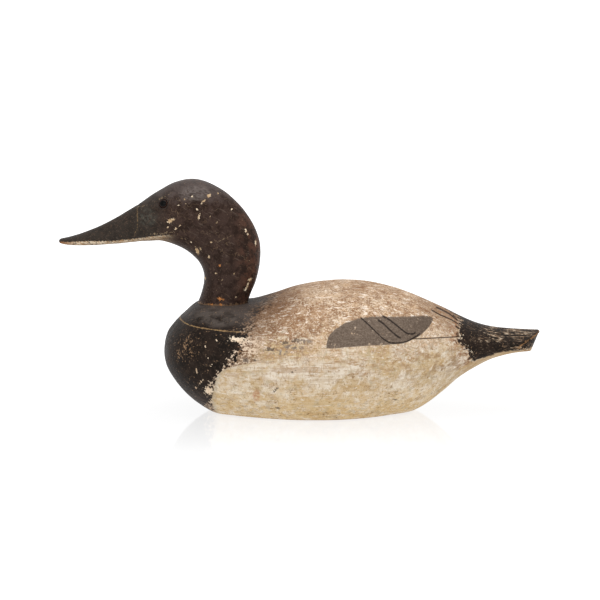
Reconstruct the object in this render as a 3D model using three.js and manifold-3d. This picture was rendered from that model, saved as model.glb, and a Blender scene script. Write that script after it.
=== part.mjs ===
// Hollow wooden duck decoy, in millimetres. -X is the bill, +X the tail, +Z up, and the origin is on
// the ground under the middle. Two hollowed halves are bedded in putty and nailed along a seam that
// falls towards the tail. The head and bill are one block on a dowel, with glass eyes set in putty.
// A lead plate is let into the flat bottom, and a ring for the anchor line folds into a pocket there.

import * as THREE from 'three';
import { mergeVertices } from 'three/addons/utils/BufferGeometryUtils.js';
import Module from 'manifold-3d';

const wasm = await Module();
wasm.setup();

// ---------------------------------------------------------------- driving dimensions

const GAP = 0.3; // clearance between pieces that touch

// Body stations from the breast to past the tail: x, top, height of the widest point, keel,
// half width, and how square the upper and lower quarters are (2 is an ellipse).
// The keel runs below the ground, where the flat bottom is sawn off.
const BODY = [
  [-122.5, 55, 55, 55, 0, 2, 2],
  [-120.2, 69.5, 55, 42.5, 25, 2, 2],
  [-114.2, 79, 55, 31.5, 43, 2, 2],
  [-104.5, 88.8, 55, 19.2, 57, 2.1, 2],
  [-92, 98.2, 55, 8.2, 67, 2.3, 2],
  [-76, 99.6, 55.5, -1, 75, 2.5, 2],
  [-60, 99.6, 56, -4, 79, 2.5, 2],
  [-43, 99.6, 56, -7, 81, 2.35, 2],
  [-24, 105.2, 56, -10.5, 82.5, 2.2, 2],
  [0, 113.2, 56, -14, 83, 2.1, 2],
  [29, 117.6, 56.5, -14.5, 82, 2.05, 2],
  [57, 117.2, 57, -10, 78.5, 2.05, 2],
  [82, 112.2, 58, -4, 71.5, 2.05, 2],
  [101, 105.5, 59, 0, 63, 2.1, 2],
  [115, 99.6, 60, 7.4, 55, 2.1, 2],
  [129.6, 93.2, 61, 18.6, 46.5, 2.1, 2],
  [144, 86.1, 61.5, 31, 38, 2.1, 2],
  [158.4, 79.9, 61.5, 40.2, 31, 2, 2],
  [172.8, 76.3, 61, 47.3, 26.5, 1.9, 1.9],
  [190, 74.5, 60.8, 52, 23.5, 1.8, 1.8],
  [209, 73.6, 61, 54.3, 22.5, 1.75, 1.75],
  [228, 73.2, 61, 55, 22, 1.75, 1.75],
];
const BODY_EVEN = [0, 5, 6]; // the columns that mirror evenly about the round front end

// Head stations from the tip of the bill to the foot of the neck: throat x and z, crown x and z,
// half width, squareness, and where the widest point lies between throat (0) and crown (1).
const HEAD = [
  [-216, 154, -216, 154, 0, 2, 0.4],
  [-214.2, 152, -214.2, 156.2, 6.4, 2, 0.38],
  [-207.5, 150.8, -207.5, 157.8, 10.8, 2, 0.34],
  [-194.4, 150.4, -194.4, 161.4, 12.4, 2, 0.3],
  [-178, 150.8, -178, 168.3, 12.3, 2, 0.3],
  [-162, 151.9, -161, 177.4, 13.2, 2, 0.34],
  [-150.3, 152.9, -143.5, 188, 15.8, 2.05, 0.4],
  [-142, 153.8, -127.8, 198.4, 19.4, 2.25, 0.45],
  [-134, 154.2, -110, 207.5, 22.8, 2.4, 0.5],
  [-124.5, 154.4, -91, 209.4, 24.8, 2.4, 0.52],
  [-114, 151.4, -70.5, 200.8, 25.4, 2.25, 0.52],
  [-104.5, 147, -53.4, 186, 24.8, 2.05, 0.5],
  [-96, 140.8, -41.6, 169, 23.6, 2, 0.5],
  [-89.6, 133.6, -36, 152.6, 22.4, 2, 0.5],
  [-86.4, 124.4, -35.8, 134.6, 21.6, 2, 0.5],
  [-86.6, 115.6, -39.2, 119, 21.8, 2, 0.5],
  [-89, 106.4, -44, 107, 22.8, 2, 0.5],
  [-92, 98.3, -47.4, 98.3, 24, 2, 0.5],
];
const HEAD_EVEN = [0, 2, 5, 6];

const SEAM = { height: 80, slope: -0.05, putty: 0.5, band: 7 }; // plane z = height + slope * x
const SEAT = { x: -69.2, z: 98, long: 23, wide: 24.2 }; // flat that the neck stands on
const TAIL = { radius: 23.5, centre: 192, height: 72, undercut: 0.4 }; // round, undercut end of the tail
const CAVITY = { wall: 13, floor: 19.5 };
const UPPER_CAVITY = { from: -36, to: 124 };
const LOWER_CAVITY = { from: -76, to: 118 };

const DOWEL = { x: -69.5, radius: 7.5, bottom: 86, top: 128 };
const EYE = { x: -120.8, y: 20.5, z: 189.6, out: [-0.3, 1, 0.33], radius: 4.1, depth: 2.6, dome: 1.8 };
const SOCKET = { radius: 5.4, depth: 9.2 };
const NAIL = { shank: 1.2, head: 1.6, thick: 1, sunk: 5, point: 3 };
const HULL_NAIL = { below: 10, inboard: 8, length: 34, at: [-50, -6, 40, 86] };
const NECK_NAIL = { rise: 6, drop: 15, inward: 10, length: 19.5 };

const BALLAST = { x: 28, long: 92, wide: 36, deep: 8, radius: 5 };
const SCREW = { head: 3.8, shank: 1.7, length: 16.5, spanX: 62, spanY: 18 };
const POCKET = { front: -69, back: -36, wide: 25, deep: 8.5, corner: 4 };
const STAPLE = { x: -45, wire: 1, spread: 4.6, top: 19 };
// The ring sags by some degrees, to where its front lies on the ground.
const RING = { z: 3.85, wire: 1.25, radius: 9, sag: 7.2 };

const BODY_SIDES = 30; // points round a section of the body
const HEAD_SIDES = 26;
const CAVITY_SIDES = 22;
const STATION_STEP = 0.75; // stations between the rows above are splined
const ROUND = 18; // sides of small round pieces

// ---------------------------------------------------------------- solids and booleans

function solidOf(geometry, placement = new THREE.Matrix4()) {
  const plain = new THREE.BufferGeometry();
  plain.setAttribute('position', geometry.getAttribute('position').clone());
  plain.setIndex(geometry.index ? geometry.index.clone() : null);
  const merged = mergeVertices(plain.applyMatrix4(placement), 1e-4);
  return new wasm.Manifold(new wasm.Mesh({
    numProp: 3,
    vertProperties: merged.attributes.position.array,
    triVerts: new Uint32Array(merged.index.array),
  }));
}

function geometryOf(solid) {
  const mesh = solid.getMesh();
  const geometry = new THREE.BufferGeometry();
  geometry.setAttribute('position', new THREE.BufferAttribute(mesh.vertProperties, 3));
  geometry.setIndex(new THREE.BufferAttribute(mesh.triVerts, 1));
  const flat = geometry.toNonIndexed();
  flat.computeVertexNormals();
  return flat;
}

function cut(solid, cutters) {
  return cutters.reduce((left, cutter) => left.subtract(cutter), solid);
}

function boxSolid(low, high) {
  const size = high.map((v, k) => v - low[k]);
  const middle = high.map((v, k) => (v + low[k]) / 2);
  return solidOf(new THREE.BoxGeometry(...size), new THREE.Matrix4().makeTranslation(...middle));
}

function uprightCylinder(x, y, low, high, radius, sides = ROUND) {
  const geometry = new THREE.CylinderGeometry(radius, radius, high - low, sides);
  geometry.rotateX(Math.PI / 2);
  return solidOf(geometry, new THREE.Matrix4().makeTranslation(x, y, (low + high) / 2));
}

// ---------------------------------------------------------------- lofted blocks

function catmullRom(a, b, c, d, t) {
  const [square, cube] = [2 * a - 5 * b + 4 * c - d, 3 * b - a - 3 * c + d];
  return 0.5 * (2 * b + (c - a) * t + square * t * t + cube * t * t * t);
}

// The row at station u, a real number. Before the first row the curve mirrors itself,
// so that the end is round.
function rowAt(rows, even, u) {
  const i = Math.min(Math.floor(u), rows.length - 2);
  const [first, second] = rows;
  const last = rows.length - 1;
  return rows[0].map((_, k) => {
    const before = i > 0 ? rows[i - 1][k] : even.includes(k) ? second[k] : 2 * first[k] - second[k];
    const after = i + 2 <= last ? rows[i + 2][k] : 2 * rows[last][k] - rows[last - 1][k];
    return catmullRom(before, rows[i][k], rows[i + 1][k], after, u - i);
  });
}

const power = (v, n) => Math.sign(v) * Math.abs(v) ** (2 / n);

function bodyRing([x, top, widest, keel, half, square, bilge], sides = BODY_SIDES) {
  return Array.from({ length: sides }, (_, k) => {
    const turn = (2 * Math.PI * k) / sides;
    const n = Math.sin(turn) > 0 ? square : bilge;
    const reach = Math.sin(turn) > 0 ? top - widest : widest - keel;
    return new THREE.Vector3(x, half * power(Math.cos(turn), n), widest + reach * power(Math.sin(turn), n));
  });
}

function headRing([throatX, throatZ, crownX, crownZ, half, square, widest], sides = HEAD_SIDES) {
  const throat = new THREE.Vector3(throatX, 0, throatZ);
  const crown = new THREE.Vector3(crownX, 0, crownZ);
  const middle = throat.clone().lerp(crown, widest);
  return Array.from({ length: sides }, (_, k) => {
    const turn = (2 * Math.PI * k) / sides;
    const rise = power(Math.sin(turn), square);
    const point = middle.clone().lerp(rise > 0 ? crown : throat, Math.abs(rise));
    return point.setY(half * power(Math.cos(turn), square));
  });
}

// A closed skin through rings of equal count, with a fan of faces to a point at each end.
function loft(rings, first, last) {
  const sides = rings[0].length;
  const points = [...rings.flat(), first, last];
  const faces = [];
  const at = (ring, k) => ring * sides + (k % sides);
  for (let ring = 0; ring + 1 < rings.length; ring++) {
    for (let k = 0; k < sides; k++) {
      faces.push(at(ring, k), at(ring, k + 1), at(ring + 1, k + 1));
      faces.push(at(ring, k), at(ring + 1, k + 1), at(ring + 1, k));
    }
  }
  for (let k = 0; k < sides; k++) {
    faces.push(points.length - 2, at(0, k + 1), at(0, k));
    faces.push(points.length - 1, at(rings.length - 1, k), at(rings.length - 1, k + 1));
  }
  const geometry = new THREE.BufferGeometry();
  geometry.setAttribute('position', new THREE.Float32BufferAttribute(points.flatMap((p) => p.toArray()), 3));
  geometry.setIndex(faces);
  return geometry;
}

const centreOf = (ring) => ring.reduce((sum, p) => sum.add(p), new THREE.Vector3()).divideScalar(ring.length);

function stationsFrom(first, last, step) {
  const count = Math.round((last - first) / step);
  return Array.from({ length: count + 1 }, (_, k) => first + (k * (last - first)) / count);
}

function bodyRowAtX(x) {
  let [low, high] = [0, BODY.length - 1];
  for (let i = 0; i < 40; i++) {
    const middle = (low + high) / 2;
    if (rowAt(BODY, BODY_EVEN, middle)[0] < x) low = middle;
    else high = middle;
  }
  return rowAt(BODY, BODY_EVEN, low);
}

// Half width of the body at x and z.
function bodyHalfWidth(x, z) {
  const [, top, widest, keel, half, square, bilge] = bodyRowAtX(x);
  const [n, reach] = z > widest ? [square, top - widest] : [bilge, widest - keel];
  return half * (1 - Math.abs((z - widest) / reach) ** n) ** (1 / n);
}

const seamAt = (x) => SEAM.height + SEAM.slope * x;

// Everything above the seam plane raised by offset, as a solid.
function aboveSeam(offset) {
  const block = boxSolid([-400, -200, 0], [400, 200, 300]);
  const tilt = new THREE.Matrix4().makeRotationY(-Math.atan(SEAM.slope));
  const placed = new THREE.Matrix4().makeTranslation(0, 0, SEAM.height + offset).multiply(tilt);
  return solidOf(geometryOf(block), placed);
}

// What lies past the round, undercut end of the tail.
function tailWaste() {
  const outline = new THREE.Shape();
  outline.moveTo(100, -100);
  outline.lineTo(170, -100);
  outline.lineTo(TAIL.centre, -TAIL.radius);
  outline.absarc(TAIL.centre, 0, TAIL.radius, -Math.PI / 2, Math.PI / 2, false);
  outline.lineTo(170, 100);
  outline.lineTo(100, 100);
  const kept = new THREE.ExtrudeGeometry(outline, { depth: 100, bevelEnabled: false, curveSegments: 24 });
  const shear = new THREE.Matrix4().makeShear(0, 0, 0, 0, TAIL.undercut, 0);
  const lean = new THREE.Matrix4().makeTranslation(-TAIL.undercut * TAIL.height, 0, 0).multiply(shear);
  return boxSolid([160, -60, 20], [260, 60, 95]).subtract(solidOf(kept, lean));
}

function bodyBlock() {
  const stations = [0.22, 0.5, 0.8, ...stationsFrom(1.2, BODY.length - 1, STATION_STEP)];
  const rings = stations.map((u) => bodyRing(rowAt(BODY, BODY_EVEN, u)));
  const nose = new THREE.Vector3(BODY[0][0], 0, BODY[0][1]);
  return solidOf(loft(rings, nose, centreOf(rings.at(-1)))).subtract(tailWaste());
}

// The hollow between two stations: the body's own section drawn in by the wall, with round ends.
function hollow({ from, to }, wall, floor) {
  const [middle, reach] = [(from + to) / 2, (to - from) / 2];
  const rings = stationsFrom(-0.97, 0.97, 0.15).map((part) => {
    const [x, top, widest, keel, half] = bodyRowAtX(middle + reach * part);
    const shrink = (1 - Math.abs(part) ** 3) ** (1 / 3);
    const low = widest - shrink * (widest - Math.max(keel, 0) - floor);
    const high = widest + shrink * (top - wall - widest);
    return bodyRing([x, high, widest, low, shrink * (half - wall), 2.2, 2.4], CAVITY_SIDES);
  });
  return solidOf(loft(rings, centreOf(rings[0]), centreOf(rings.at(-1))));
}

// ---------------------------------------------------------------- small turned and bent pieces

// Turned pieces stand on the Y axis, with +Y out of the surface that they are set into.
function turned(profile, sides = ROUND) {
  return new THREE.LatheGeometry(profile.map(([r, y]) => new THREE.Vector2(r, y)), sides);
}

// A nail driven in from the surface and sunk below it, or with a gap and a higher top, its hole.
function nailGeometry(length, gap = 0, top = -NAIL.sunk) {
  const { shank, head, thick, sunk, point } = NAIL;
  const neck = -sunk - thick - gap;
  return turned([
    [0, -length - gap],
    [shank + gap, -length + point],
    [shank + gap, neck],
    [head + gap, neck],
    [head + gap, top],
    [0, top],
  ], 12);
}

const nailHole = (length, place) => solidOf(nailGeometry(length, GAP, NAIL.sunk + 2), place);
const hullNailHoles = () => hullNailPlaces().map((place) => nailHole(HULL_NAIL.length, place));
const neckNailHoles = () => neckNailPlaces().map((place) => nailHole(NECK_NAIL.length, place));

function aimed(at, outward) {
  const axis = new THREE.Vector3(0, 1, 0);
  const turn = new THREE.Quaternion().setFromUnitVectors(axis, outward.clone().normalize());
  return new THREE.Matrix4().compose(at, turn, new THREE.Vector3(1, 1, 1));
}

function hullNailPlaces() {
  return [-1, 1].flatMap((side) => HULL_NAIL.at.map((x) => {
    const z = seamAt(x) - HULL_NAIL.below;
    const start = new THREE.Vector3(x, side * bodyHalfWidth(x, z), z);
    const inside = bodyHalfWidth(x, seamAt(x)) - HULL_NAIL.inboard;
    const crossing = new THREE.Vector3(x, side * inside, seamAt(x));
    return aimed(start, start.clone().sub(crossing));
  }));
}

// Toe nails from the foot of the neck into the body: left, right and back.
function neckNailPlaces() {
  const { rise, drop, inward } = NECK_NAIL;
  return [[-70.6, -23, -1, 0], [-70.6, 23, 1, 0], [-45.4, 0, 0, 1]].map(([x, y, side, back]) => {
    const start = new THREE.Vector3(x, y, SEAT.z + rise);
    return aimed(start, new THREE.Vector3(back * inward, side * inward, rise + drop));
  });
}

function eyePlace(side) {
  const [x, y, z] = EYE.out;
  return aimed(new THREE.Vector3(EYE.x, side * EYE.y, EYE.z), new THREE.Vector3(x, side * y, z));
}

function eyeGeometry() {
  const { radius, depth, dome } = EYE;
  const rise = (part) => -0.4 + (dome + 0.4) * (1 - part * part) ** 0.5;
  const bow = stationsFrom(1, 0, -1 / 6).map((part) => [radius * part, rise(part)]);
  return turned([[0, -depth], [radius, -depth], ...bow]);
}

function eyePuttyGeometry() {
  const { radius, depth } = EYE;
  const seat = -depth - GAP;
  const bore = 0.9;
  const inside = radius + GAP;
  return turned([
    [bore, -SOCKET.depth],
    [SOCKET.radius, -SOCKET.depth],
    [SOCKET.radius, -0.6],
    [inside, -0.2],
    [inside, seat],
    [bore, seat],
    [bore, -SOCKET.depth],
  ]);
}

function eyeWireGeometry() {
  const [foot, top] = [-SOCKET.depth, -EYE.depth - GAP];
  return turned([[0, foot], [0.6, foot], [0.6, top], [0, top]], 10);
}

function socketGeometry() {
  const wide = SOCKET.radius + GAP;
  return turned([[0, -SOCKET.depth - GAP], [wide, -SOCKET.depth - GAP], [wide, 6], [0, 6]]);
}

function roundedRectangle(long, wide, radius) {
  const outline = new THREE.Shape();
  const [x, y] = [long / 2 - radius, wide / 2 - radius];
  outline.absarc(x, y, radius, 0, Math.PI / 2);
  outline.absarc(-x, y, radius, Math.PI / 2, Math.PI);
  outline.absarc(-x, -y, radius, Math.PI, 1.5 * Math.PI);
  outline.absarc(x, -y, radius, 1.5 * Math.PI, 2 * Math.PI);
  return outline;
}

// A block with round corners in plan, from low to high.
function padSolid(x, long, wide, radius, low, high) {
  const outline = roundedRectangle(long, wide, radius);
  const shape = { depth: high - low, bevelEnabled: false, curveSegments: 4 };
  const pad = new THREE.ExtrudeGeometry(outline, shape);
  return solidOf(pad, new THREE.Matrix4().makeTranslation(x, 0, low));
}

function screwPlaces() {
  return [-1, 1].flatMap((end) => [-1, 1].map((side) => {
    const place = new THREE.Vector3(BALLAST.x + (end * SCREW.spanX) / 2, (side * SCREW.spanY) / 2, 2 * GAP);
    return aimed(place, new THREE.Vector3(0, 0, -1));
  }));
}

function screwGeometry(gap = 0) {
  const { head, shank, length } = SCREW;
  return turned([
    [0, -length - gap],
    [shank + gap, -length + 4 - gap],
    [shank + gap, -3],
    [head + gap, -0.6],
    [head + gap, 4 * gap],
    [0, 4 * gap],
  ], 16);
}

// The staple is a U of wire in the XZ plane with its bend down, and the ring hangs on that bend.
function stapleGeometry() {
  const bend = RING.z - RING.wire - GAP - STAPLE.wire + STAPLE.spread;
  const path = new THREE.CurvePath();
  const legs = [-1, 1].map((side) => {
    const x = STAPLE.x + side * STAPLE.spread;
    return [new THREE.Vector3(x, 0, STAPLE.top), new THREE.Vector3(x, 0, bend)];
  });
  const arc = stationsFrom(Math.PI, 2 * Math.PI, Math.PI / 8).map((turn) => new THREE.Vector3(
    STAPLE.x + STAPLE.spread * Math.cos(turn), 0, bend + STAPLE.spread * Math.sin(turn),
  ));
  path.add(new THREE.LineCurve3(...legs[0]));
  path.add(new THREE.CatmullRomCurve3(arc));
  path.add(new THREE.LineCurve3(legs[1][1], legs[1][0]));
  const section = new THREE.Shape().absarc(0, 0, STAPLE.wire, 0, 2 * Math.PI);
  return new THREE.ExtrudeGeometry(section, { extrudePath: path, steps: 24, curveSegments: 5 });
}

function ringGeometry() {
  const ring = new THREE.TorusGeometry(RING.radius, RING.wire, 10, 32);
  return ring.translate(-RING.radius, 0, 0);
}

// ---------------------------------------------------------------- the wooden pieces

function seamPutty(block) {
  const half = SEAM.putty / 2;
  const slab = block.intersect(aboveSeam(-half)).subtract(aboveSeam(half));
  return cut(slab, [
    hollow({ from: BODY[0][0] + 6, to: TAIL.centre + 12 }, SEAM.band, SEAM.band),
    ...hullNailHoles(),
  ]);
}

function upperShell(block) {
  const seat = new THREE.CylinderGeometry(1, 1, 40, 40).rotateX(Math.PI / 2);
  const footprint = new THREE.Matrix4().makeTranslation(SEAT.x, 0, SEAT.z + 20)
    .scale(new THREE.Vector3(SEAT.long + GAP, SEAT.wide + GAP, 1));
  return cut(block.intersect(aboveSeam(SEAM.putty / 2 + GAP)), [
    hollow(UPPER_CAVITY, CAVITY.wall, CAVITY.floor),
    solidOf(seat, footprint),
    uprightCylinder(DOWEL.x, 0, 70, 120, DOWEL.radius + GAP),
    ...hullNailHoles(),
    ...neckNailHoles(),
  ]);
}

function lowerShell(block) {
  const { x, long, wide, deep, radius } = BALLAST;
  const pocketLong = POCKET.back - POCKET.front;
  const pocketX = (POCKET.back + POCKET.front) / 2;
  return cut(block.subtract(aboveSeam(-SEAM.putty / 2 - GAP)), [
    boxSolid([-300, -150, -60], [300, 150, 0]),
    hollow(LOWER_CAVITY, CAVITY.wall, CAVITY.floor),
    padSolid(x, long + 2 * GAP, wide + 2 * GAP, radius + GAP, -1, deep + 2 * GAP),
    padSolid(pocketX, pocketLong, POCKET.wide, POCKET.corner, -1, POCKET.deep),
    ...[-1, 1].map((side) => (
      uprightCylinder(STAPLE.x + side * STAPLE.spread, 0, 5, STAPLE.top + GAP, STAPLE.wire + GAP, 12)
    )),
    ...screwPlaces().map((place) => solidOf(screwGeometry(GAP), place)),
    ...hullNailHoles(),
  ]);
}

function headBlock() {
  const stations = [0.3, 0.65, ...stationsFrom(1, HEAD.length - 1, STATION_STEP)];
  const rings = stations.map((u) => headRing(rowAt(HEAD, HEAD_EVEN, u)));
  const tip = new THREE.Vector3(HEAD[0][0], 0, HEAD[0][1]);
  return cut(solidOf(loft(rings, tip, centreOf(rings.at(-1)))), [
    uprightCylinder(DOWEL.x, 0, 70, DOWEL.top + GAP, DOWEL.radius + GAP),
    ...[-1, 1].map((side) => solidOf(socketGeometry(), eyePlace(side))),
    ...neckNailHoles(),
  ]);
}

function ballastPlate() {
  const { x, long, wide, deep, radius } = BALLAST;
  return cut(padSolid(x, long, wide, radius, GAP, deep + GAP), [
    ...screwPlaces().map((place) => solidOf(screwGeometry(GAP), place)),
  ]);
}

// ---------------------------------------------------------------- materials and the finished group

function surface(color, roughness, metalness = 0) {
  return new THREE.MeshStandardMaterial({ color, roughness, metalness });
}

const BACK_PAINT = surface(0x8c7560, 0.75);
const SIDE_PAINT = surface(0xcdc3a8, 0.75);
const HEAD_PAINT = surface(0x2a2320, 0.6);
const PUTTY = surface(0xb59a62, 0.8);
const EYE_PUTTY = surface(0x2a2320, 0.8);
const EYE_GLASS = surface(0x3a120a, 0.08);
const HARDWOOD = surface(0xb98c5a, 0.7);
const IRON = surface(0x5a4a40, 0.6, 0.7);
const LEAD = surface(0x74767a, 0.55, 0.6);
const BRASS = surface(0x9a7a3c, 0.4, 0.9);

const decoy = new THREE.Group();

function add(name, geometry, material, placement) {
  const mesh = new THREE.Mesh(geometry, material);
  mesh.name = name;
  if (placement) mesh.applyMatrix4(placement);
  decoy.add(mesh);
  return mesh;
}

const block = bodyBlock();
add('upper_body_shell', geometryOf(upperShell(block)), BACK_PAINT);
add('lower_body_shell', geometryOf(lowerShell(block)), SIDE_PAINT);
add('seam_putty', geometryOf(seamPutty(block)), PUTTY);
add('head', geometryOf(headBlock()), HEAD_PAINT);
add('neck_dowel', geometryOf(uprightCylinder(DOWEL.x, 0, DOWEL.bottom, DOWEL.top, DOWEL.radius)), HARDWOOD);

for (const [side, name] of [[-1, 'left'], [1, 'right']]) {
  add(`${name}_eye`, eyeGeometry(), EYE_GLASS, eyePlace(side));
  add(`${name}_eye_wire`, eyeWireGeometry(), IRON, eyePlace(side));
  add(`${name}_eye_putty`, eyePuttyGeometry(), EYE_PUTTY, eyePlace(side));
}

hullNailPlaces().forEach((place, k) => {
  const side = k < HULL_NAIL.at.length ? 'left' : 'right';
  add(`hull_nail_${side}_${(k % HULL_NAIL.at.length) + 1}`, nailGeometry(HULL_NAIL.length), IRON, place);
});
neckNailPlaces().forEach((place, k) => {
  add(`neck_nail_${['left', 'right', 'back'][k]}`, nailGeometry(NECK_NAIL.length), IRON, place);
});

add('ballast_plate', geometryOf(ballastPlate()), LEAD);
screwPlaces().forEach((place, k) => add(`ballast_screw_${k + 1}`, screwGeometry(), IRON, place));

add('line_staple', stapleGeometry(), BRASS);
const ring = add('line_ring', ringGeometry(), BRASS);
ring.rotation.y = -THREE.MathUtils.degToRad(RING.sag);
ring.position.set(STAPLE.x, 0, RING.z);

export default decoy;
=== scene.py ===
"""Looks of the hollow wooden duck decoy: carved and painted wood, glass eyes, lead, iron and brass.

Shapes are worked out in millimetres, as a carver's sections, and become metres in lofted.
-X is the bill, +X the tail and +Z up. The decoy stands on its flat bottom at z = 0.
"""

import itertools
import math

import bmesh
import bpy
import numpy as np
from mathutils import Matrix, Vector
from mathutils.bvhtree import BVHTree


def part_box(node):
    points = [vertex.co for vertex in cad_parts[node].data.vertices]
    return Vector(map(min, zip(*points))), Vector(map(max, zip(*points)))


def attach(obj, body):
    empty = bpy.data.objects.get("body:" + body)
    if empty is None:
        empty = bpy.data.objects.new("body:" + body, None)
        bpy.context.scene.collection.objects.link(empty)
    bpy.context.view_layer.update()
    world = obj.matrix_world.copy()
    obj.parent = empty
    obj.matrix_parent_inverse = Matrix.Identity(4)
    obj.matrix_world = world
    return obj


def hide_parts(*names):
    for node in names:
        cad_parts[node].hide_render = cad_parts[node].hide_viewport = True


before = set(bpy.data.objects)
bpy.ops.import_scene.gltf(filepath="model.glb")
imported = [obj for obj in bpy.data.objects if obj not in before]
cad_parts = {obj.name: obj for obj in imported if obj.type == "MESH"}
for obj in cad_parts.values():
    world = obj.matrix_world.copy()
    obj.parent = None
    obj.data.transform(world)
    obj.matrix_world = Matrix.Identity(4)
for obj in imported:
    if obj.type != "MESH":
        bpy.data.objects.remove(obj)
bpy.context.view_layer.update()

MM = 0.001
PI = math.pi

# ------------------------------------------------------------------ the carver's sections

# Body: x, top, height of the widest point, keel, half width, and how square the upper and lower
# quarters are. The keel runs below the ground, where the flat bottom is sawn off.
BODY = [
    (-122.5, 55, 55, 55, 0, 2, 2),
    (-120.2, 69.5, 55, 42.5, 25, 2, 2),
    (-114.2, 79, 55, 31.5, 43, 2, 2),
    (-104.5, 88.8, 55, 19.2, 57, 2.1, 2),
    (-92, 98.2, 55, 8.2, 67, 2.3, 2),
    (-76, 99.6, 55.5, -1, 75, 2.5, 2),
    (-60, 99.6, 56, -4, 79, 2.5, 2),
    (-43, 99.6, 56, -7, 81, 2.35, 2),
    (-24, 105.2, 56, -10.5, 82.5, 2.2, 2),
    (0, 113.2, 56, -14, 83, 2.1, 2),
    (29, 117.6, 56.5, -14.5, 82, 2.05, 2),
    (57, 117.2, 57, -10, 78.5, 2.05, 2),
    (82, 112.2, 58, -4, 71.5, 2.05, 2),
    (101, 105.5, 59, 0, 63, 2.1, 2),
    (115, 99.6, 60, 7.4, 55, 2.1, 2),
    (129.6, 93.2, 61, 18.6, 46.5, 2.1, 2),
    (144, 86.1, 61.5, 31, 38, 2.1, 2),
    (158.4, 79.9, 61.5, 40.2, 31, 2, 2),
    (172.8, 76.3, 61, 47.3, 26.5, 1.9, 1.9),
    (190, 74.5, 60.8, 52, 23.5, 1.8, 1.8),
    (209, 73.6, 61, 54.3, 22.5, 1.75, 1.75),
    (228, 73.2, 61, 55, 22, 1.75, 1.75),
]
BODY_EVEN = [0, 5, 6]  # the columns that mirror evenly about the round front end

# Head: throat x and z, crown x and z, half width, squareness of the upper and of the lower part,
# and where the widest point lies between throat (0) and crown (1). The bill comes first.
HEAD = [
    (-216, 154, -216, 154, 0, 1.9, 2.4, 0.4),
    (-214.2, 152, -214.2, 156.2, 6.4, 1.9, 2.6, 0.36),
    (-207.5, 150.8, -207.5, 157.8, 10.8, 1.8, 2.9, 0.3),
    (-194.4, 150.4, -194.4, 161.4, 12.4, 1.75, 3.1, 0.27),
    (-178, 150.8, -178, 168.3, 12.3, 1.75, 3.1, 0.24),
    (-162, 151.9, -161, 177.4, 13.2, 1.85, 2.9, 0.28),
    (-150.3, 152.9, -143.5, 188, 15.8, 2, 2.6, 0.36),
    (-142, 153.8, -127.8, 198.4, 19.4, 2.2, 2.4, 0.43),
    (-134, 154.2, -110, 207.5, 22.8, 2.35, 2.4, 0.5),
    (-124.5, 154.4, -91, 209.4, 24.8, 2.4, 2.4, 0.52),
    (-114, 151.4, -70.5, 200.8, 25.4, 2.25, 2.25, 0.52),
    (-104.5, 147, -53.4, 186, 24.8, 2.05, 2.05, 0.5),
    (-96, 140.8, -41.6, 169, 23.6, 2, 2, 0.5),
    (-89.6, 133.6, -36, 152.6, 22.4, 2, 2, 0.5),
    (-86.4, 124.4, -35.8, 134.6, 21.6, 2, 2, 0.5),
    (-86.6, 115.6, -39.2, 119, 21.8, 2, 2, 0.5),
    (-89, 106.4, -44, 107, 22.8, 2, 2, 0.5),
    (-92, 98.1, -47.4, 98.1, 24, 2, 2, 0.5),
]
HEAD_EVEN = [0, 2, 5, 6, 7]

SEAM_HEIGHT = 80  # the seam's plane at x = 0
SEAM_SLOPE = -0.05
PUTTY_BAND = 7
SEAT = {"x": -69.2, "z": 98.0, "top": 130, "long": 23.1, "wide": 24.1}
DOWEL_HOLE = {"x": -69.5, "bottom": 80, "top": 128.4, "radius": 7.7}
TAIL = {"radius": 23.5, "centre": 192, "height": 72, "undercut": 0.4, "rim": 1.3, "warp": 150, "end": 214}
FLAT_EASE = 0.9  # how softly the side turns into the flat bottom

EYE_OUT = (-0.3, 1, 0.33)
EYE_SEAT = (-120.8, 20.5, 189.6)
EYE_RADIUS = 4.1
SOCKET_RADIUS = 5.4
SOCKET_DEEP = 9.4
# Putty bed of an eye: (radius, height) up its outer wall, over the lip that stands on the wood, and
# down inside, behind the glass. Heights of the lip are above the wood.
BED_WALL = [(0.9, -9.2), (5.2, -9.2), (5.36, -9), (5.36, -2)]
BED_LIP = [(5.36, -0.02), (5.2, 0.1), (4.95, 0.3), (4.65, 0.46), (4.35, 0.42), (4.14, 0.1)]
BED_CUP = [(4.14, -2.64), (0.9, -2.64), (0.9, -9.2)]

BALLAST = {"x": 28, "long": 92, "wide": 36, "deep": 8, "radius": 5}
POCKET = {"x": -52.5, "long": 33, "wide": 25, "deep": 8.5, "radius": 4}
SCREW_TURNS = {"ballast_screw_1": 24, "ballast_screw_2": -38, "ballast_screw_3": 71, "ballast_screw_4": 5}
HINGE = (-45, 3.85)  # x and z of the line about which the ring swings

BODY_STEP = 1.25
HEAD_STEP = 1.0
UPPER_ROWS = 66  # points from seam to top, and from keel to seam
LOWER_ROWS = 84
CLOSE_ROWS = np.array([0.62, 0.34, 0.16, 0.06, 0])  # rows drawn together along the seam
CLOSE_REACH = 1.5
# Stations drawn together round the place where the breast crosses the seam, and before the tail's end.
AT_BREAST = np.array([-1.6, -1, -0.6, -0.35, -0.18, -0.07, 0, 0.03, 0.1, 0.22, 0.4, 0.65, 1, 1.5, 2.1])
AT_TAIL = np.array([1.9, 1.3, 0.85, 0.5, 0.25, 0.08, 0])
CLOSE_STATIONS = 2.3
TAIL_CLOSING = [0.94, 0.86, 0.76, 0.64, 0.5, 0.36, 0.22, 0.1, 0]  # rings that close the tail's end

CUT_GAP = 0.12  # room left round every CAD piece that is let into the wood
WELD = 0.002  # points of a new mesh nearer than this become one
CAD_WELD = 0.0005  # and points of a CAD node's mesh

# ------------------------------------------------------------------ numbers: noise and splines


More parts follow.
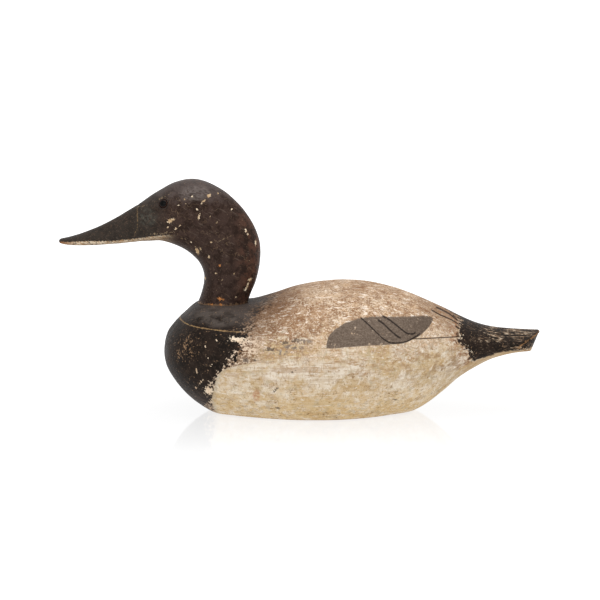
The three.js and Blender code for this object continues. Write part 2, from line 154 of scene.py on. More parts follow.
def hashed(cell, seed):
    """A number from -1 to 1 for each whole-numbered cell, mixed with large odd factors."""
    n = cell.astype(np.uint64)
    n = n[..., 0] * np.uint64(73856093) ^ n[..., 1] * np.uint64(19349663) ^ n[..., 2] * np.uint64(83492791)
    n = (n ^ np.uint64(seed * 7919 + 17)) * np.uint64(2654435761)
    n = (n ^ (n >> np.uint64(15))) * np.uint64(2246822519)
    n = n ^ (n >> np.uint64(13))
    return (n & np.uint64(0xFFFF)).astype(float) / 32767.5 - 1


def noise(points, size, seed):
    scaled = points / size
    cell = np.floor(scaled).astype(np.int64)
    part = scaled - cell
    part = part * part * (3 - 2 * part)
    total = np.zeros(points.shape[:-1])
    for corner in itertools.product((0, 1), repeat=3):
        weight = np.where(np.array(corner) == 1, part, 1 - part).prod(axis=-1)
        total += weight * hashed(cell + np.array(corner), seed)
    return total


def layered(points, size, seed, layers=3):
    return sum(noise(points, size / 2**k, seed + k) / 2**k for k in range(layers))


def smooth(low, high, value):
    part = np.clip((value - low) / (high - low), 0, 1)
    return part * part * (3 - 2 * part)


def splined(rows, even):
    """The rows with 400 steps between each two. At the first row the even columns turn round evenly."""
    rows = np.array(rows, float)
    stations = np.linspace(0, len(rows) - 1, 400 * (len(rows) - 1) + 1)
    before = 2 * rows[0] - rows[1]
    before[even] = rows[1][even]
    padded = np.vstack([before, rows, 2 * rows[-1] - rows[-2]])
    i = np.minimum(np.floor(stations).astype(int), len(rows) - 2)
    t = (stations - i)[:, None]
    a, b, c, d = (padded[i + k] for k in range(4))
    return 0.5 * (2 * b + (c - a) * t + (2 * a - 5 * b + 4 * c - d) * t**2 + (3 * b - a - 3 * c + d) * t**3)


def even_stations(table, moving, step):
    """Places along a dense table where no moving column has run more than a step since the last place."""
    run = np.abs(np.diff(table[:, moving], axis=0)).max(axis=1)
    length = np.concatenate([[0], run.cumsum()])
    count = max(2, round(length[-1] / step) + 1)
    return np.interp(np.linspace(0, length[-1], count), length, np.arange(len(table)))


def run_length(points):
    """How far along a run of points each one lies."""
    return np.concatenate([[0], np.linalg.norm(np.diff(points, axis=0), axis=1).cumsum()])


def along_run(points, length, places):
    return np.column_stack([np.interp(places, length, column) for column in points.T])


# ------------------------------------------------------------------ meshes


def placed(name, data):
    """A new object in the scene."""
    thing = bpy.data.objects.new(name, data)
    bpy.context.scene.collection.objects.link(thing)
    return thing


def ring_faces(rings, sides):
    faces = []
    for base in range(0, (rings - 1) * sides, sides):
        for k in range(sides):
            after = (k + 1) % sides
            faces.append((base + k, base + after, base + sides + after, base + sides + k))
    return faces


def lofted(name, rings):
    """A closed skin over rings of equal count, in millimetres, welded and with its faces turned outward.

    The rings run from a point to a point, or all the way round to the first again.
    """
    rings = np.asarray(rings, float)
    count, sides, _ = rings.shape
    mesh = bpy.data.meshes.new(name)
    mesh.from_pydata((rings.reshape(-1, 3) * MM).tolist(), [], ring_faces(count, sides))
    work = bmesh.new()
    work.from_mesh(mesh)
    bmesh.ops.remove_doubles(work, verts=work.verts, dist=WELD * MM)
    if work.calc_volume(signed=True) < 0:
        bmesh.ops.reverse_faces(work, faces=work.faces)
    work.to_mesh(mesh)
    work.free()
    return placed(name, mesh)


def shrinking(ring, shares, settle=None):
    """Rings that close a section towards its centre, each put where settle says."""
    centre = ring.mean(axis=0)
    closing = [centre + (ring - centre) * share for share in shares]
    return [settle(r) for r in closing] if settle else closing


def evaluated(piece):
    """Applies the piece's modifiers."""
    graph = bpy.context.evaluated_depsgraph_get()
    done = bpy.data.meshes.new_from_object(piece.evaluated_get(graph))
    old = piece.data
    piece.modifiers.clear()
    piece.data = done
    bpy.data.meshes.remove(old)
    return piece


def drop(*pieces):
    for piece in pieces:
        bpy.data.objects.remove(piece)


def subtract(piece, *cutters):
    for cutter in cutters:
        cut = piece.modifiers.new("cut", "BOOLEAN")
        cut.operation = "DIFFERENCE"
        cut.solver = "MANIFOLD"
        cut.object = cutter
    bpy.context.view_layer.update()
    evaluated(piece)
    drop(*cutters)
    return piece


def swollen(node, gap):
    """A copy of a CAD node's mesh grown by a gap, to cut its place with."""
    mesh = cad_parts[node].data.copy()
    work = bmesh.new()
    work.from_mesh(mesh)
    bmesh.ops.remove_doubles(work, verts=work.verts, dist=CAD_WELD * MM)
    work.normal_update()
    shifts = [v.normal * gap * MM for v in work.verts]
    for vertex, shift in zip(work.verts, shifts):
        vertex.co += shift
    work.to_mesh(mesh)
    work.free()
    return placed("cutter_" + node, mesh)


def shade(piece, angle=38):
    piece.data.shade_smooth()
    piece.data.set_sharp_from_angle(angle=math.radians(angle))
    return piece


def field(piece, name, values):
    """Stores one number for each vertex, for the materials to read."""
    layer = piece.data.attributes.new(name, "FLOAT", "POINT")
    layer.data.foreach_set("value", np.asarray(values, np.float32))


def places_of(piece):
    flat = np.zeros(len(piece.data.vertices) * 3)
    piece.data.vertices.foreach_get("co", flat)
    return flat.reshape(-1, 3) / MM


def circle(half_x, half_y, height, sides, x=0.0, y=0.0):
    """A level ring of points about a place."""
    turns = np.arange(sides) * 2 * PI / sides
    return np.column_stack([x + half_x * np.cos(turns), y + half_y * np.sin(turns), np.full(sides, height)])


def facing(out):
    """The turn that brings +Z to a direction."""
    return np.array(Vector((0, 0, 1)).rotation_difference(Vector(out)).to_matrix())


def lathe(name, profile, at, out, sides=48):
    """A turned piece: (radius, height) pairs round an axis that points out of the surface at a place."""
    rings = np.array([circle(radius, radius, height, sides) for radius, height in profile], float)
    return lofted(name, rings @ facing(out).T + np.array(at))


def round_run(points, radii, sides):
    """A round bar along a smooth run of points in the XZ plane."""
    points = np.asarray(points, float)
    along = np.gradient(points, axis=0)
    along /= np.linalg.norm(along, axis=1)[:, None]
    side = np.array([0.0, 1, 0])
    angles = np.arange(sides) * 2 * PI / sides
    rings = []
    for place, ahead, radius in zip(points, along, radii):
        up = np.cross(ahead, side)
        rings.append(place + radius * (np.cos(angles)[:, None] * side + np.sin(angles)[:, None] * up))
    return rings


# ------------------------------------------------------------------ the body's form

BODY_TABLE = splined(BODY, BODY_EVEN)


def body_columns(x):
    return [np.interp(x, BODY_TABLE[:, 0], BODY_TABLE[:, k]) for k in range(1, 7)]


def body_section(x, turn):
    """y and z on the body at station x and angle turn, where -90 degrees is the keel and 90 the top."""
    top, widest, keel, half, square, bilge = body_columns(x)
    rise = np.sin(turn)
    n = np.where(rise > 0, square, bilge)
    reach = np.where(rise > 0, top - widest, widest - keel)
    y = half * np.abs(np.cos(turn)) ** (2 / n)
    z = widest + reach * np.sign(rise) * np.abs(rise) ** (2 / n)
    z = (z + np.hypot(z, FLAT_EASE)) / 2
    return y, z


def body_level(points):
    """The section's own equation at each point, which is 1 on the body and less inside, and its power."""
    top, widest, keel, half, square, bilge = body_columns(points[..., 0])
    above = points[..., 2] > widest
    n = np.where(above, square, bilge)
    reach = np.where(above, top - widest, widest - keel)
    return (np.abs(points[..., 1]) / half) ** n + (np.abs(points[..., 2] - widest) / reach) ** n, n


def body_normal(points):
    """Outward directions, from how the section's own equation changes around each point."""
    step = 0.05
    with np.errstate(all="ignore"):
        slopes = []
        for axis in np.eye(3):
            slopes.append(body_level(points + step * axis)[0] - body_level(points - step * axis)[0])
        normals = np.stack(slopes, axis=-1)
        normals /= np.linalg.norm(normals, axis=-1, keepdims=True)
    normals[~np.isfinite(normals).all(axis=-1)] = (-1, 0, 0)
    return normals


def seam_plane(x):
    return SEAM_HEIGHT + SEAM_SLOPE * x


def seam_gap(x):
    """Half of the open seam: it gapes on the breast and ahead of the tail, and is tight between."""
    breast = 1 - smooth(-62, -44, x)
    rear = smooth(92, 104, x) * (1 - smooth(138, 146, x))
    return 0.012 + 0.178 * breast + 0.138 * rear


def seam_lip(x):
    """How far the wood's edges are worn round along the seam."""
    breast = 1 - smooth(-64, -46, x)
    rear = smooth(92, 104, x) * (1 - smooth(136, 146, x))
    return 0.02 + 0.21 * breast + 0.24 * rear


def seam_turn(x, side):
    top, widest, _, _, square, _ = body_columns(x)
    share = (seam_plane(x) + side * seam_gap(x) - widest) / np.maximum(top - widest, 1e-6)
    return np.arcsin(np.clip(share, 0, 1) ** (square / 2))


def seam_start(side):
    """Where the breast rises through the seam."""
    x = np.linspace(-118, -90, 5601)
    top = body_columns(x)[0]
    return x[np.argmax(top > seam_plane(x) + side * seam_gap(x))]


def tail_end(y, z):
    reach = np.sqrt(np.maximum(TAIL["radius"] ** 2 - y**2, 0))
    return TAIL["centre"] + reach + TAIL["undercut"] * (z - TAIL["height"])


def tail_warp(x, y, z):
    """Stations past the start of the tail are stretched, so that the last lies on the end surface."""
    share = np.maximum(x - TAIL["warp"], 0) / (TAIL["end"] - TAIL["warp"])
    return np.where(share > 0, TAIL["warp"] + share * (tail_end(y, z) - TAIL["warp"]), x)


def on_body(x, turn):
    """x, y and z at angles round each station, with the last stations moved to meet the tail's end."""
    at_x = x
    for _ in range(4):
        at_x = tail_warp(x, *body_section(at_x, turn))
    y, z = body_section(at_x, turn)
    return at_x, y, z


def on_tail_end(ring):
    ring[:, 0] = tail_end(ring[:, 1], ring[:, 2])
    return ring


def body_stations(first, near):
    """Station places, drawn together where the breast crosses the seam and at the tail's end."""
    every = BODY_TABLE[BODY_TABLE[:, 0] <= TAIL["end"]]
    index = even_stations(every, [0, 1, 3, 4], BODY_STEP)
    x = np.interp(index, np.arange(len(every)), every[:, 0])
    x = x[(np.abs(x - near) > CLOSE_STATIONS) & (x < TAIL["end"] - CLOSE_STATIONS)]
    x = np.sort(np.concatenate([x, near + AT_BREAST, TAIL["end"] - AT_TAIL]))
    return x[x >= first - 1e-9]


def arc_rows(x, start, end, rows, close_at_end):
    """Angles of points spread evenly along a section from start to end, and close together at the seam."""
    turns = np.linspace(start, end, 700)
    y, z = body_section(np.full_like(turns, x), turns)
    length = np.concatenate([[0], np.hypot(np.diff(y), np.diff(z)).cumsum()])
    close = min(CLOSE_REACH, 0.3 * length[-1])
    places = np.concatenate([
        np.linspace(0, length[-1] - close, rows),
        length[-1] - close * CLOSE_ROWS,
    ])
    if not close_at_end:
        places = length[-1] - places[::-1]
    return np.interp(places, length, turns)


RANDOM = np.random.default_rng(1907)


def body_places(count):
    """Places scattered over the body's surface."""
    x = RANDOM.uniform(-116, 205, count)
    turn = RANDOM.uniform(-0.8, 1.45, count)
    y, z = body_section(x, turn)
    return np.column_stack([x, RANDOM.choice([-1, 1], count) * y, z])


DENTS = body_places(110)
DENT_SIZES = RANDOM.uniform(1.3, 3.2, len(DENTS))
DENT_DEPTHS = RANDOM.uniform(0.06, 0.34, len(DENTS))


def settled(points, normals):
    """Moves points in and out: flats left by the spokeshave, raised grain and dents."""
    lengthwise = points * np.array([0.4, 1, 1])
    shift = 0.26 * layered(lengthwise, 30, 11, 2) - 0.12
    shift += 0.07 * noise(points * np.array([0.08, 1, 1]), 3.2, 21)
    for place, size, depth in zip(DENTS, DENT_SIZES, DENT_DEPTHS):
        shift -= depth * np.exp(-(((points - place) ** 2).sum(axis=-1) / size**2))
    shift *= smooth(0.6, 5, points[..., 2])
    return points + normals * shift[..., None]


def eased(points, normals, side):
    """Wears the edges round: along the seam, and at the rim of the tail."""
    x = points[..., 0]
    lip = seam_lip(x)
    upright = np.sqrt(np.maximum(1 - normals[..., 2] ** 2, 0.1))
    away = np.abs(points[..., 2] - seam_plane(x) - side * seam_gap(x)) / upright
    inner = np.maximum(lip - away, 0)
    along = normals * np.array([1, 1, 0])
    along /= np.maximum(np.linalg.norm(along, axis=-1, keepdims=True), 1e-6)
    moved = points - along * (lip - np.sqrt(lip**2 - inner**2))[..., None]

    rim = TAIL["rim"]
    left = np.clip(tail_end(points[..., 1], points[..., 2]) - x, 0, rim)
    behind = np.array([1.0, 0, -TAIL["undercut"]])
    square = 1 - np.clip(normals @ (behind / np.linalg.norm(behind)), 0, 1)
    pull = (rim - np.sqrt(rim**2 - (rim - left) ** 2)) * square
    return moved - normals * pull[..., None]


def bowl(right, left, depth, count=38):
    """The hollowed face of a shell between its two edges: flat land, and a bowl between."""
    reach = min(right[1], -left[1])
    inside = max(0.0, reach - 13) if abs(depth) > 0.5 else 0.45 * reach
    turns = np.linspace(0, PI, count)
    cosine = np.cos(turns)
    lands = [np.linspace(right[1], inside, 5)[1:-1], np.linspace(-inside, left[1], 5)[1:-1]]
    y = np.concatenate([lands[0], inside * np.sign(cosine) * np.abs(cosine) ** 0.7, lands[1]])
    z = np.concatenate([np.zeros(3), depth * np.abs(np.sin(turns)) ** 0.7, np.zeros(3)])
    return np.column_stack([np.full(len(y), (right[0] + left[0]) / 2), y, z + right[2]])


def hollow_depth(x, side):
    """How deep the bowl is at a station, up (1) or down (-1) from the seam."""
    first, last = (-36, 124) if side > 0 else (-76, 118)
    part = abs(x - (first + last) / 2) / ((last - first) / 2)
    if part >= 0.98:
        return 0.0
    top, _, keel, _, _, _ = body_columns(x)
    deepest = top - 13 - seam_plane(x) if side > 0 else seam_plane(x) - max(keel, 0) - 19.5
    return side * max(deepest, 0) * (1 - part**3) ** (1 / 3)


def shell_outside(x, start, side):
    """The right and the left half of a shell's outer face, as grids of points."""
    seam = seam_turn(x, side)
    if side > 0:
        edge, centre = 0, -1
        turn = np.array([arc_rows(a, b, PI / 2, UPPER_ROWS, False) for a, b in zip(x, seam)])
    else:
        edge, centre = -1, 0
        turn = np.array([arc_rows(a, -PI / 2, b, LOWER_ROWS, True) for a, b in zip(x, seam)])
    at_x, y, z = on_body(x[:, None], turn)
    cut = x > start
    z[cut, edge] = seam_plane(at_x[cut, edge]) + side * seam_gap(at_x[cut, edge])
    y[:, centre] = 0
    if side > 0:
        y[~cut] = 0
    else:
        y[~cut, edge] = 0
    halves = []
    for mirror in (1, -1):
        points = np.stack([at_x, mirror * y, z], axis=-1)
        normals = body_normal(points)
        moved = eased(settled(points, normals), normals, side)
        moved[cut, edge, 2] = seam_plane(moved[cut, edge, 0]) + side * seam_gap(moved[cut, edge, 0])
        moved[-1] = on_tail_end(moved[-1])
        halves.append(moved)
    return halves


def body_shell(name, side):
    """The upper (side 1) or lower (side -1) half of the body."""
    start = seam_start(side)
    x = body_stations(start if side > 0 else BODY[0][0], start)
    edge = 0 if side > 0 else -1
    rings = []
    for station, right, left in zip(x, *shell_outside(x, start, side)):
        inner = bowl(right[edge], left[edge], hollow_depth(station, side))
        if station > TAIL["warp"]:
            inner[:, 0] = tail_warp(station, inner[:, 1], inner[:, 2])
        if side > 0:
            rings.append(np.concatenate([right, left[-2::-1], inner[::-1]]))
        else:
            rings.append(np.concatenate([right, inner, left[:0:-1]]))
    last = on_tail_end(rings[-1])
    return lofted(name, rings + shrinking(last, TAIL_CLOSING, on_tail_end))


# ------------------------------------------------------------------ the head's form

HEAD_TABLE = splined(HEAD, HEAD_EVEN)
HEAD_SIDES = 172

# Marks are places where the paint is knocked off: x, z, half length, half height, tilt in degrees.
HEAD_CHIPS = [
    (-80.7, 196.6, 2.2, 1.4, 50),
    (-85.4, 191.8, 2.6, 0.7, 45),
    (-107.6, 188.5, 1, 0.8, 0),
    (-101.2, 189.8, 0.8, 0.5, 0),
    (-95.1, 196.2, 0.9, 0.6, 60),
    (-90.9, 185.4, 1.1, 0.8, -30),
    (-89.3, 178.6, 2.9, 1.1, 75),
    (-114.7, 174.8, 3.6, 1.5, 32),
    (-111.6, 176, 1.2, 1, 0),
    (-110.2, 167.3, 2.1, 0.9, 40),
    (-106.2, 170.9, 1, 0.6, 30),
    (-78.6, 155.6, 0.9, 0.7, 0),
    (-80.7, 141.9, 1, 1.5, 0),
    (-75, 127.1, 1, 0.8, 0),
    (-69.4, 121.4, 0.7, 0.6, 0),
    (-91.3, 146.8, 1.5, 3.6, 12),
    (-97, 155.6, 1.6, 0.7, -30),
    (-48.1, 165, 0.8, 1.6, 15),
    (-46.5, 161.6, 0.9, 0.9, 0),
    (-44.4, 121, 2, 1.2, 20),
    (-48.1, 113.1, 0.9, 3, -25),
    (-46.6, 117, 0.9, 1.5, -30),
    (-57, 106.2, 0.8, 0.6, 0),
    (-60.4, 184.1, 0.8, 0.6, 0),
    (-39.6, 153.4, 0.7, 2.8, 0),
    (-79.6, 178.6, 1.4, 0.5, 10),
    (-73.5, 173.3, 0.6, 0.7, 0),
    (-117.2, 168.8, 1.3, 0.7, 40),
    (-102.3, 193.8, 1.2, 0.5, 20),
    (-72.6, 198.2, 0.9, 0.6, 0),
    (-56.9, 190.2, 0.8, 0.6, 0),
    (-85, 120.9, 0.7, 1.3, 0),
    (-58.7, 127.1, 0.6, 0.6, 0),
    (-88.5, 149.6, 0.6, 2.2, 20),
]
HEAD_BARE = [
    (-71.5, 134.3, 1.5, 1.3, 0),
    (-70.8, 104.6, 3.6, 1.3, -6),
    (-70.6, 99.8, 2.4, 0.9, 0),
    (-80, 99.6, 3.4, 0.6, 0),
]
HEAD_SCRATCHES = [
    (-121.7, 194.6, 6.5, 0.5, 27),
    (-139.4, 186.6, 6, 0.5, 12),
    (-104, 193, 6, 0.4, 4),
    (-67, 158.6, 9.5, 0.5, 24),
    (-128, 162.5, 9, 0.8, 3),
    (-118, 163.4, 6, 1, 8),
]
BODY_CHIPS = [
    (-51.5, 76.6, 9, 1.9, 4),
    (-57.5, 77.6, 4.5, 1.6, -6),
    (-79.3, 29.5, 4.6, 4.8, 30),
    (-72.6, 75.9, 1.6, 0.8, 60),
    (-82.6, 69.6, 0.8, 1.4, 0),
    (-80.6, 61, 0.7, 1.8, 0),
    (-90.4, 48, 0.6, 2.6, 8),
    (-76.7, 54, 1.6, 0.8, 40),
    (-86.6, 37.6, 3.6, 0.8, 60),
    (-91.5, 31, 0.8, 2, 30),
]
BODY_BARE = [
    (-99.5, 69, 6.5, 6, 30),
    (-104, 61, 4.5, 5, 20),
    (-94, 61.5, 4, 4, 0),
]
BODY_STAINS = [
    (-47, 59.6, 2.6, 1.6, -10),
    (-39.4, 60, 1.4, 0.9, 0),
    (-33.6, 60.4, 0.9, 0.7, 0),
    (-13, 74.6, 3.6, 1.1, 8),
    (-4, 76.8, 3.4, 1.2, 14),
    (-27, 69, 4.6, 1.3, 6),
    (-21, 33, 3.4, 0.7, 40),
    (-19.6, 14.4, 2.2, 0.9, -10),
    (84, 20, 3.4, 0.6, -20),
    (-6, 50, 3.4, 0.6, 30),
]


def mark_field(points, marks, side):
    """How deep in a mark each point lies, from 1 at its middle. Marks of one side stay on that side."""
    total = np.zeros(len(points))
    for x, z, long, high, tilt in marks:
        dx, dz = points[:, 0] - x, points[:, 2] - z
        c, s = math.cos(math.radians(tilt)), math.sin(math.radians(tilt))
        away = ((dx * c + dz * s) / long) ** 2 + ((dz * c - dx * s) / high) ** 2
        total = np.maximum(total, np.exp(-0.7 * away))
    return total * smooth(-1, 3, side * points[:, 1])


def other_side(marks, seed, spread):
    """The far side was knocked about in the same way, in other places."""
    draw = np.random.default_rng(seed)
    shifts = draw.uniform(-spread, spread, (len(marks), 3))
    return [(x + a, z + 0.6 * b, r, h, tilt + 4 * c) for (x, z, r, h, tilt), (a, b, c) in zip(marks, shifts)]


def both_sides(points, marks, seed, spread):
    """The marks of the left side as they are, and those of the right side moved about."""
    return mark_field(points, marks, -1) + mark_field(points, other_side(marks, seed, spread), 1)


# The line where the bill's sides meet its flat underside, and the paint edge at the root of the bill.
MOUTH = [(-216, 154.2), (-205, 154.9), (-192, 155.5), (-171, 155.8), (-148, 158), (-128, 161), (-112, 162.6)]
BILL_ROOT = [(156, -148), (162, -147), (166, -145), (170, -144.3), (187, -145.1), (192, -145.2)]


def head_ring(row):
    """One leaning section of the head as evenly spread points, from the crown round past the throat."""
    throat_x, throat_z, crown_x, crown_z, half, upper, lower, widest = row
    turns = np.linspace(PI / 2, 2.5 * PI, 1201)
    rise = np.sin(turns)
    n = np.where(rise > 0, upper, lower)
    lift = (np.sign(rise) * np.abs(rise) ** (2 / n))[:, None]
    throat, crown = np.array([throat_x, 0, throat_z]), np.array([crown_x, 0, crown_z])
    middle = throat + (crown - throat) * widest
    points = middle + np.where(lift > 0, crown - middle, middle - throat) * lift
    points[:, 1] = half * np.sign(np.cos(turns)) * np.abs(np.cos(turns)) ** (2 / n)
    length = run_length(points)
    return along_run(points, length, np.linspace(0, length[-1], HEAD_SIDES + 1)[:-1])


def grid_normals(grid):
    """Outward directions on a grid of rings."""
    along = np.gradient(grid, axis=0)
    around = np.roll(grid, -1, axis=1) - np.roll(grid, 1, axis=1)
    normals = np.cross(along, around)
    length = np.linalg.norm(normals, axis=-1, keepdims=True)
    normals = normals / np.maximum(length, 1e-9)
    outward = grid - grid.mean(axis=1, keepdims=True)
    if (normals * outward).sum() < 0:
        normals = -normals
    normals[length[..., 0] < 1e-7] = (-1, 0, 0)
    return normals


def head_knocks(points):
    return both_sides(points, HEAD_CHIPS, 5, 9)


def head_shift(points):
    """Knife work on the head: soft flats, the line of the mouth, the root of the bill and small chips."""
    x, z = points[..., 0], points[..., 2]
    shift = 0.2 * layered(points, 19, 51, 3) - 0.08
    mouth = np.interp(x, *np.array(MOUTH).T)
    shift -= 0.42 * np.exp(-(((z - mouth) / 0.5) ** 2)) * (1 - smooth(-150, -122, x))
    root = np.interp(z, *np.array(BILL_ROOT).T)
    shift -= 0.3 * np.exp(-(((x - root) / 0.9) ** 2)) * smooth(157, 162, z)
    shift -= 0.16 * head_knocks(points.reshape(-1, 3)).reshape(x.shape)
    return shift * smooth(98, 104, z) * smooth(-216, -211, x)


def head_piece():
    index = even_stations(HEAD_TABLE, [0, 1, 2, 3, 4], HEAD_STEP)
    rows = along_run(HEAD_TABLE, np.arange(len(HEAD_TABLE)), index)
    tip = rows[0] + (rows[1] - rows[0]) * np.array([0.06, 0.25, 0.5, 0.75])[:, None] ** 1.6
    rows = np.vstack([rows[:1], tip, rows[1:]])
    grid = np.array([head_ring(row) for row in rows])
    grid = grid + grid_normals(grid) * head_shift(grid)[..., None]
    foot = shrinking(grid[-1], [0.985, 0.9, 0.7, 0.45, 0.2, 0])
    return lofted("carved_head", np.concatenate([grid, foot]))


# ------------------------------------------------------------------ cutters and small solids


def round_box_rings(x, long, wide, radius, bands, arc=10):
    """Rings of a block with round corners in plan, from (inset, height) bands."""
    rings = []
    for inset, z in bands:
        ring = []
        corner = max(radius - inset, 0.02)
        for quarter in range(4):
            turns = (quarter + np.linspace(0, 1, arc)) * PI / 2
            sign_x, sign_y = (1, -1, -1, 1)[quarter], (1, 1, -1, -1)[quarter]
            ring.append(np.column_stack([
                x + sign_x * (long / 2 - inset - corner) + corner * np.cos(turns),
                sign_y * (wide / 2 - inset - corner) + corner * np.sin(turns),
                np.full(arc, z),
            ]))
        rings.append(np.concatenate(ring))
    return rings


def capped(rings):
    """Closes both ends of a run of rings."""
    closing = (0.8, 0.4, 0)
    return np.array([*shrinking(rings[0], closing[::-1]), *rings, *shrinking(rings[-1], closing)])


def upright_cut(name, x, y, low, high, long, wide):
    return lofted(name, capped([circle(long, wide, z, 96, x, y) for z in (low, high)]))


def nail_names():
    return [n for n in sorted(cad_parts) if "nail" in n]


def screw_names():
    return [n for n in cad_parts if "screw" in n]


# ------------------------------------------------------------------ the wooden pieces


def upper_body():
    shell = body_shell("carved_upper_body", 1)
    seat = upright_cut("seat_cut", SEAT["x"], 0, SEAT["z"], SEAT["top"], SEAT["long"], SEAT["wide"])
    pegs = [swollen(node, CUT_GAP) for node in ["neck_dowel", *nail_names()]]
    return shade(subtract(shell, seat, *pegs))


def recess(name, place, gap, edge=0.5):
    """A cutter for a recess with an eased mouth."""
    floor = place["deep"] + gap
    bands = [(-gap - edge - 1, -1), (-gap - edge, 0), (-gap - 0.3 * edge, 0.35 * edge), (-gap, edge)]
    bands += [(-gap, floor - 0.4), (0.4 - gap, floor)]
    rings = round_box_rings(place["x"], place["long"], place["wide"], place["radius"], bands)
    return lofted(name, capped(rings))


def lower_body():
    shell = body_shell("carved_lower_body", -1)
    openings = [recess("ballast_cut", BALLAST, 0.3), recess("pocket_cut", POCKET, 0, 0.8)]
    held = [swollen(node, CUT_GAP) for node in ["line_staple", *screw_names(), *nail_names()]]
    return shade(subtract(shell, *openings, *held))


def carved_head():
    """The bored head, and the surface it had before, for the eye beds to lie on."""
    head = head_piece()
    surface = BVHTree.FromObject(head, bpy.context.evaluated_depsgraph_get())
    x, low, high, radius = (DOWEL_HOLE[key] for key in ("x", "bottom", "top", "radius"))
    cutters = [upright_cut("dowel_cut", x, 0, low, high, radius, radius)]
    for side in (-1, 1):
        seat, out = eye_axis(side)
        profile = [(0, -SOCKET_DEEP), (3, -SOCKET_DEEP), (SOCKET_RADIUS, -SOCKET_DEEP)]
        profile += [(SOCKET_RADIUS, 0), (SOCKET_RADIUS, 8), (0, 8)]
        cutters.append(lathe("socket_cut", profile, seat, out, 64))
    cutters += [swollen(node, CUT_GAP) for node in nail_names() if "neck" in node]
    return shade(subtract(head, *cutters)), surface


def seam_loop():
    """The seam's run round the body at its own height: right side first, then the tail and the left side."""
    start = seam_start(0)
    x = body_stations(start, start)
    at_x, y, z = on_body(x, seam_turn(x, 0))
    y[0] = 0
    sides = []
    for side in (1, -1):
        points = np.column_stack([at_x, side * y, z])
        sides.append(settled(points, body_normal(points)))
    across = np.linspace(sides[0][-1, 1], sides[1][-1, 1], 40)[1:-1]
    height = np.full(len(across), seam_plane(sides[0][-1, 0]))
    ending = np.column_stack([tail_end(across, height), across, height])
    loop = np.concatenate([sides[0], ending, sides[1][:0:-1]])[:, :2]
    length = run_length(loop)
    return along_run(loop, length, np.arange(0, length[-1], 1.0))


def seam_bedding():
    """The ring of putty between the halves, seen on the breast and sunk behind the wood elsewhere."""
    loop = seam_loop()
    ahead = np.roll(loop, -2, axis=0) - np.roll(loop, 2, axis=0)
    inward = np.column_stack([-ahead[:, 1], ahead[:, 0]])
    inward /= np.linalg.norm(inward, axis=1)[:, None]
    if (inward * loop).sum() > 0:
        inward = -inward
    x = loop[:, 0]
    sunk = 0.16 + 1.3 * smooth(-60, -46, x) + 0.12 * noise(np.column_stack([loop, 0 * x]), 6, 81)
    high = seam_gap(x) - 0.006
    rings = []
    for depth, level in [(0.1, -1), (0, -0.6), (0, 0.6), (0.1, 1), (PUTTY_BAND, 1), (PUTTY_BAND, -1)]:
        inset = sunk + depth if depth < 1 else np.full(len(x), float(depth))
        place = loop + inward * inset[:, None]
        rings.append(np.column_stack([place, seam_plane(place[:, 0]) + level * high]))
    grid = np.stack(rings, axis=1)
    grid = np.concatenate([grid, grid[:1]])
    return shade(lofted("seam_bedding", grid))


# ------------------------------------------------------------------ eyes


def eye_axis(side):
    seat = np.array(EYE_SEAT) * np.array([1, side, 1])
    out = np.array(EYE_OUT) * np.array([1, side, 1])
    return seat, out / np.linalg.norm(out)


def glass_eye(name, side):
    seat, out = eye_axis(side)
    bow = [(EYE_RADIUS * math.cos(a), -0.4 + 2.2 * math.sin(a)) for a in np.linspace(0, PI / 2, 13)]
    profile = [(0, -2.6), (2.2, -2.6), (3.85, -2.6), (EYE_RADIUS, -2.3), (EYE_RADIUS, -1.3), *bow]
    eye = lathe(name, profile, seat, out, 64)
    away = places_of(eye) - seat
    radial = np.linalg.norm(away - (away @ out)[:, None] * out, axis=1)
    field(eye, "iris", radial / EYE_RADIUS)
    return shade(eye, 60)


def eye_bed(name, side, surface):
    """Putty pressed round the glass: a soft bead that runs out flush with the wood."""
    seat, out = eye_axis(side)
    turn = facing(out)
    sides = 56
    waves = np.sin(3 * np.arange(sides) * 2 * PI / sides + side)
    rings = [circle(radius, radius, height, sides) for radius, height in BED_WALL]
    for radius, lift in BED_LIP:
        ring = circle(radius, radius, 0.0, sides)
        for k, place in enumerate(ring @ turn.T + seat):
            hit = surface.ray_cast(Vector((place + 8 * out) * MM), Vector(-out))[0]
            ring[k, 2] = (np.array(hit) / MM - place) @ out
        ring[:, 2] += lift * (1 + 0.25 * waves)
        rings.append(ring)
    rings += [circle(radius, radius, height, sides) for radius, height in BED_CUP]
    grid = np.array(rings) @ turn.T + seat
    return shade(lofted(name, grid))


# ------------------------------------------------------------------ metal


def ballast_piece():
    """The lead plate, with a soft lower edge, small knocks on its face and holes for its screws."""
    bands = [(1.3, 0.3), (0.6, 0.38), (0.2, 0.7), (0, 1.3), (0, 4), (0, 7.8), (0.5, 8.3)]
    rings = round_box_rings(BALLAST["x"], BALLAST["long"], BALLAST["wide"], BALLAST["radius"], bands, 14)
    face = shrinking(rings[0], np.linspace(0, 0.96, 22))
    back = shrinking(rings[-1], [0.96, 0.6, 0.3, 0])
    grid = np.array([*face, *rings, *back])
    grid[..., 2] += 0.16 * np.abs(layered(grid, 6, 91, 2)) * (1 - smooth(0.4, 1.2, grid[..., 2]))
    plate = lofted("lead_ballast", grid)
    holes = [swollen(node, 0.15) for node in screw_names()] + [screw_mouth(node) for node in screw_names()]
    return shade(subtract(plate, *holes))


def screw_head(node):
    """A screw's place in plan, how low its head lies, and the head's radius."""
    low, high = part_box(node)
    return (low.x + high.x) / 2 / MM, (low.y + high.y) / 2 / MM, low.z / MM, (high.x - low.x) / 2 / MM


def screw_mouth(node):
    """The open end of a screw's hole, below its head."""
    x, y, low, radius = screw_head(node)
    return upright_cut("mouth_" + node, x, y, -1, low + 0.3, radius + 0.15, radius + 0.15)


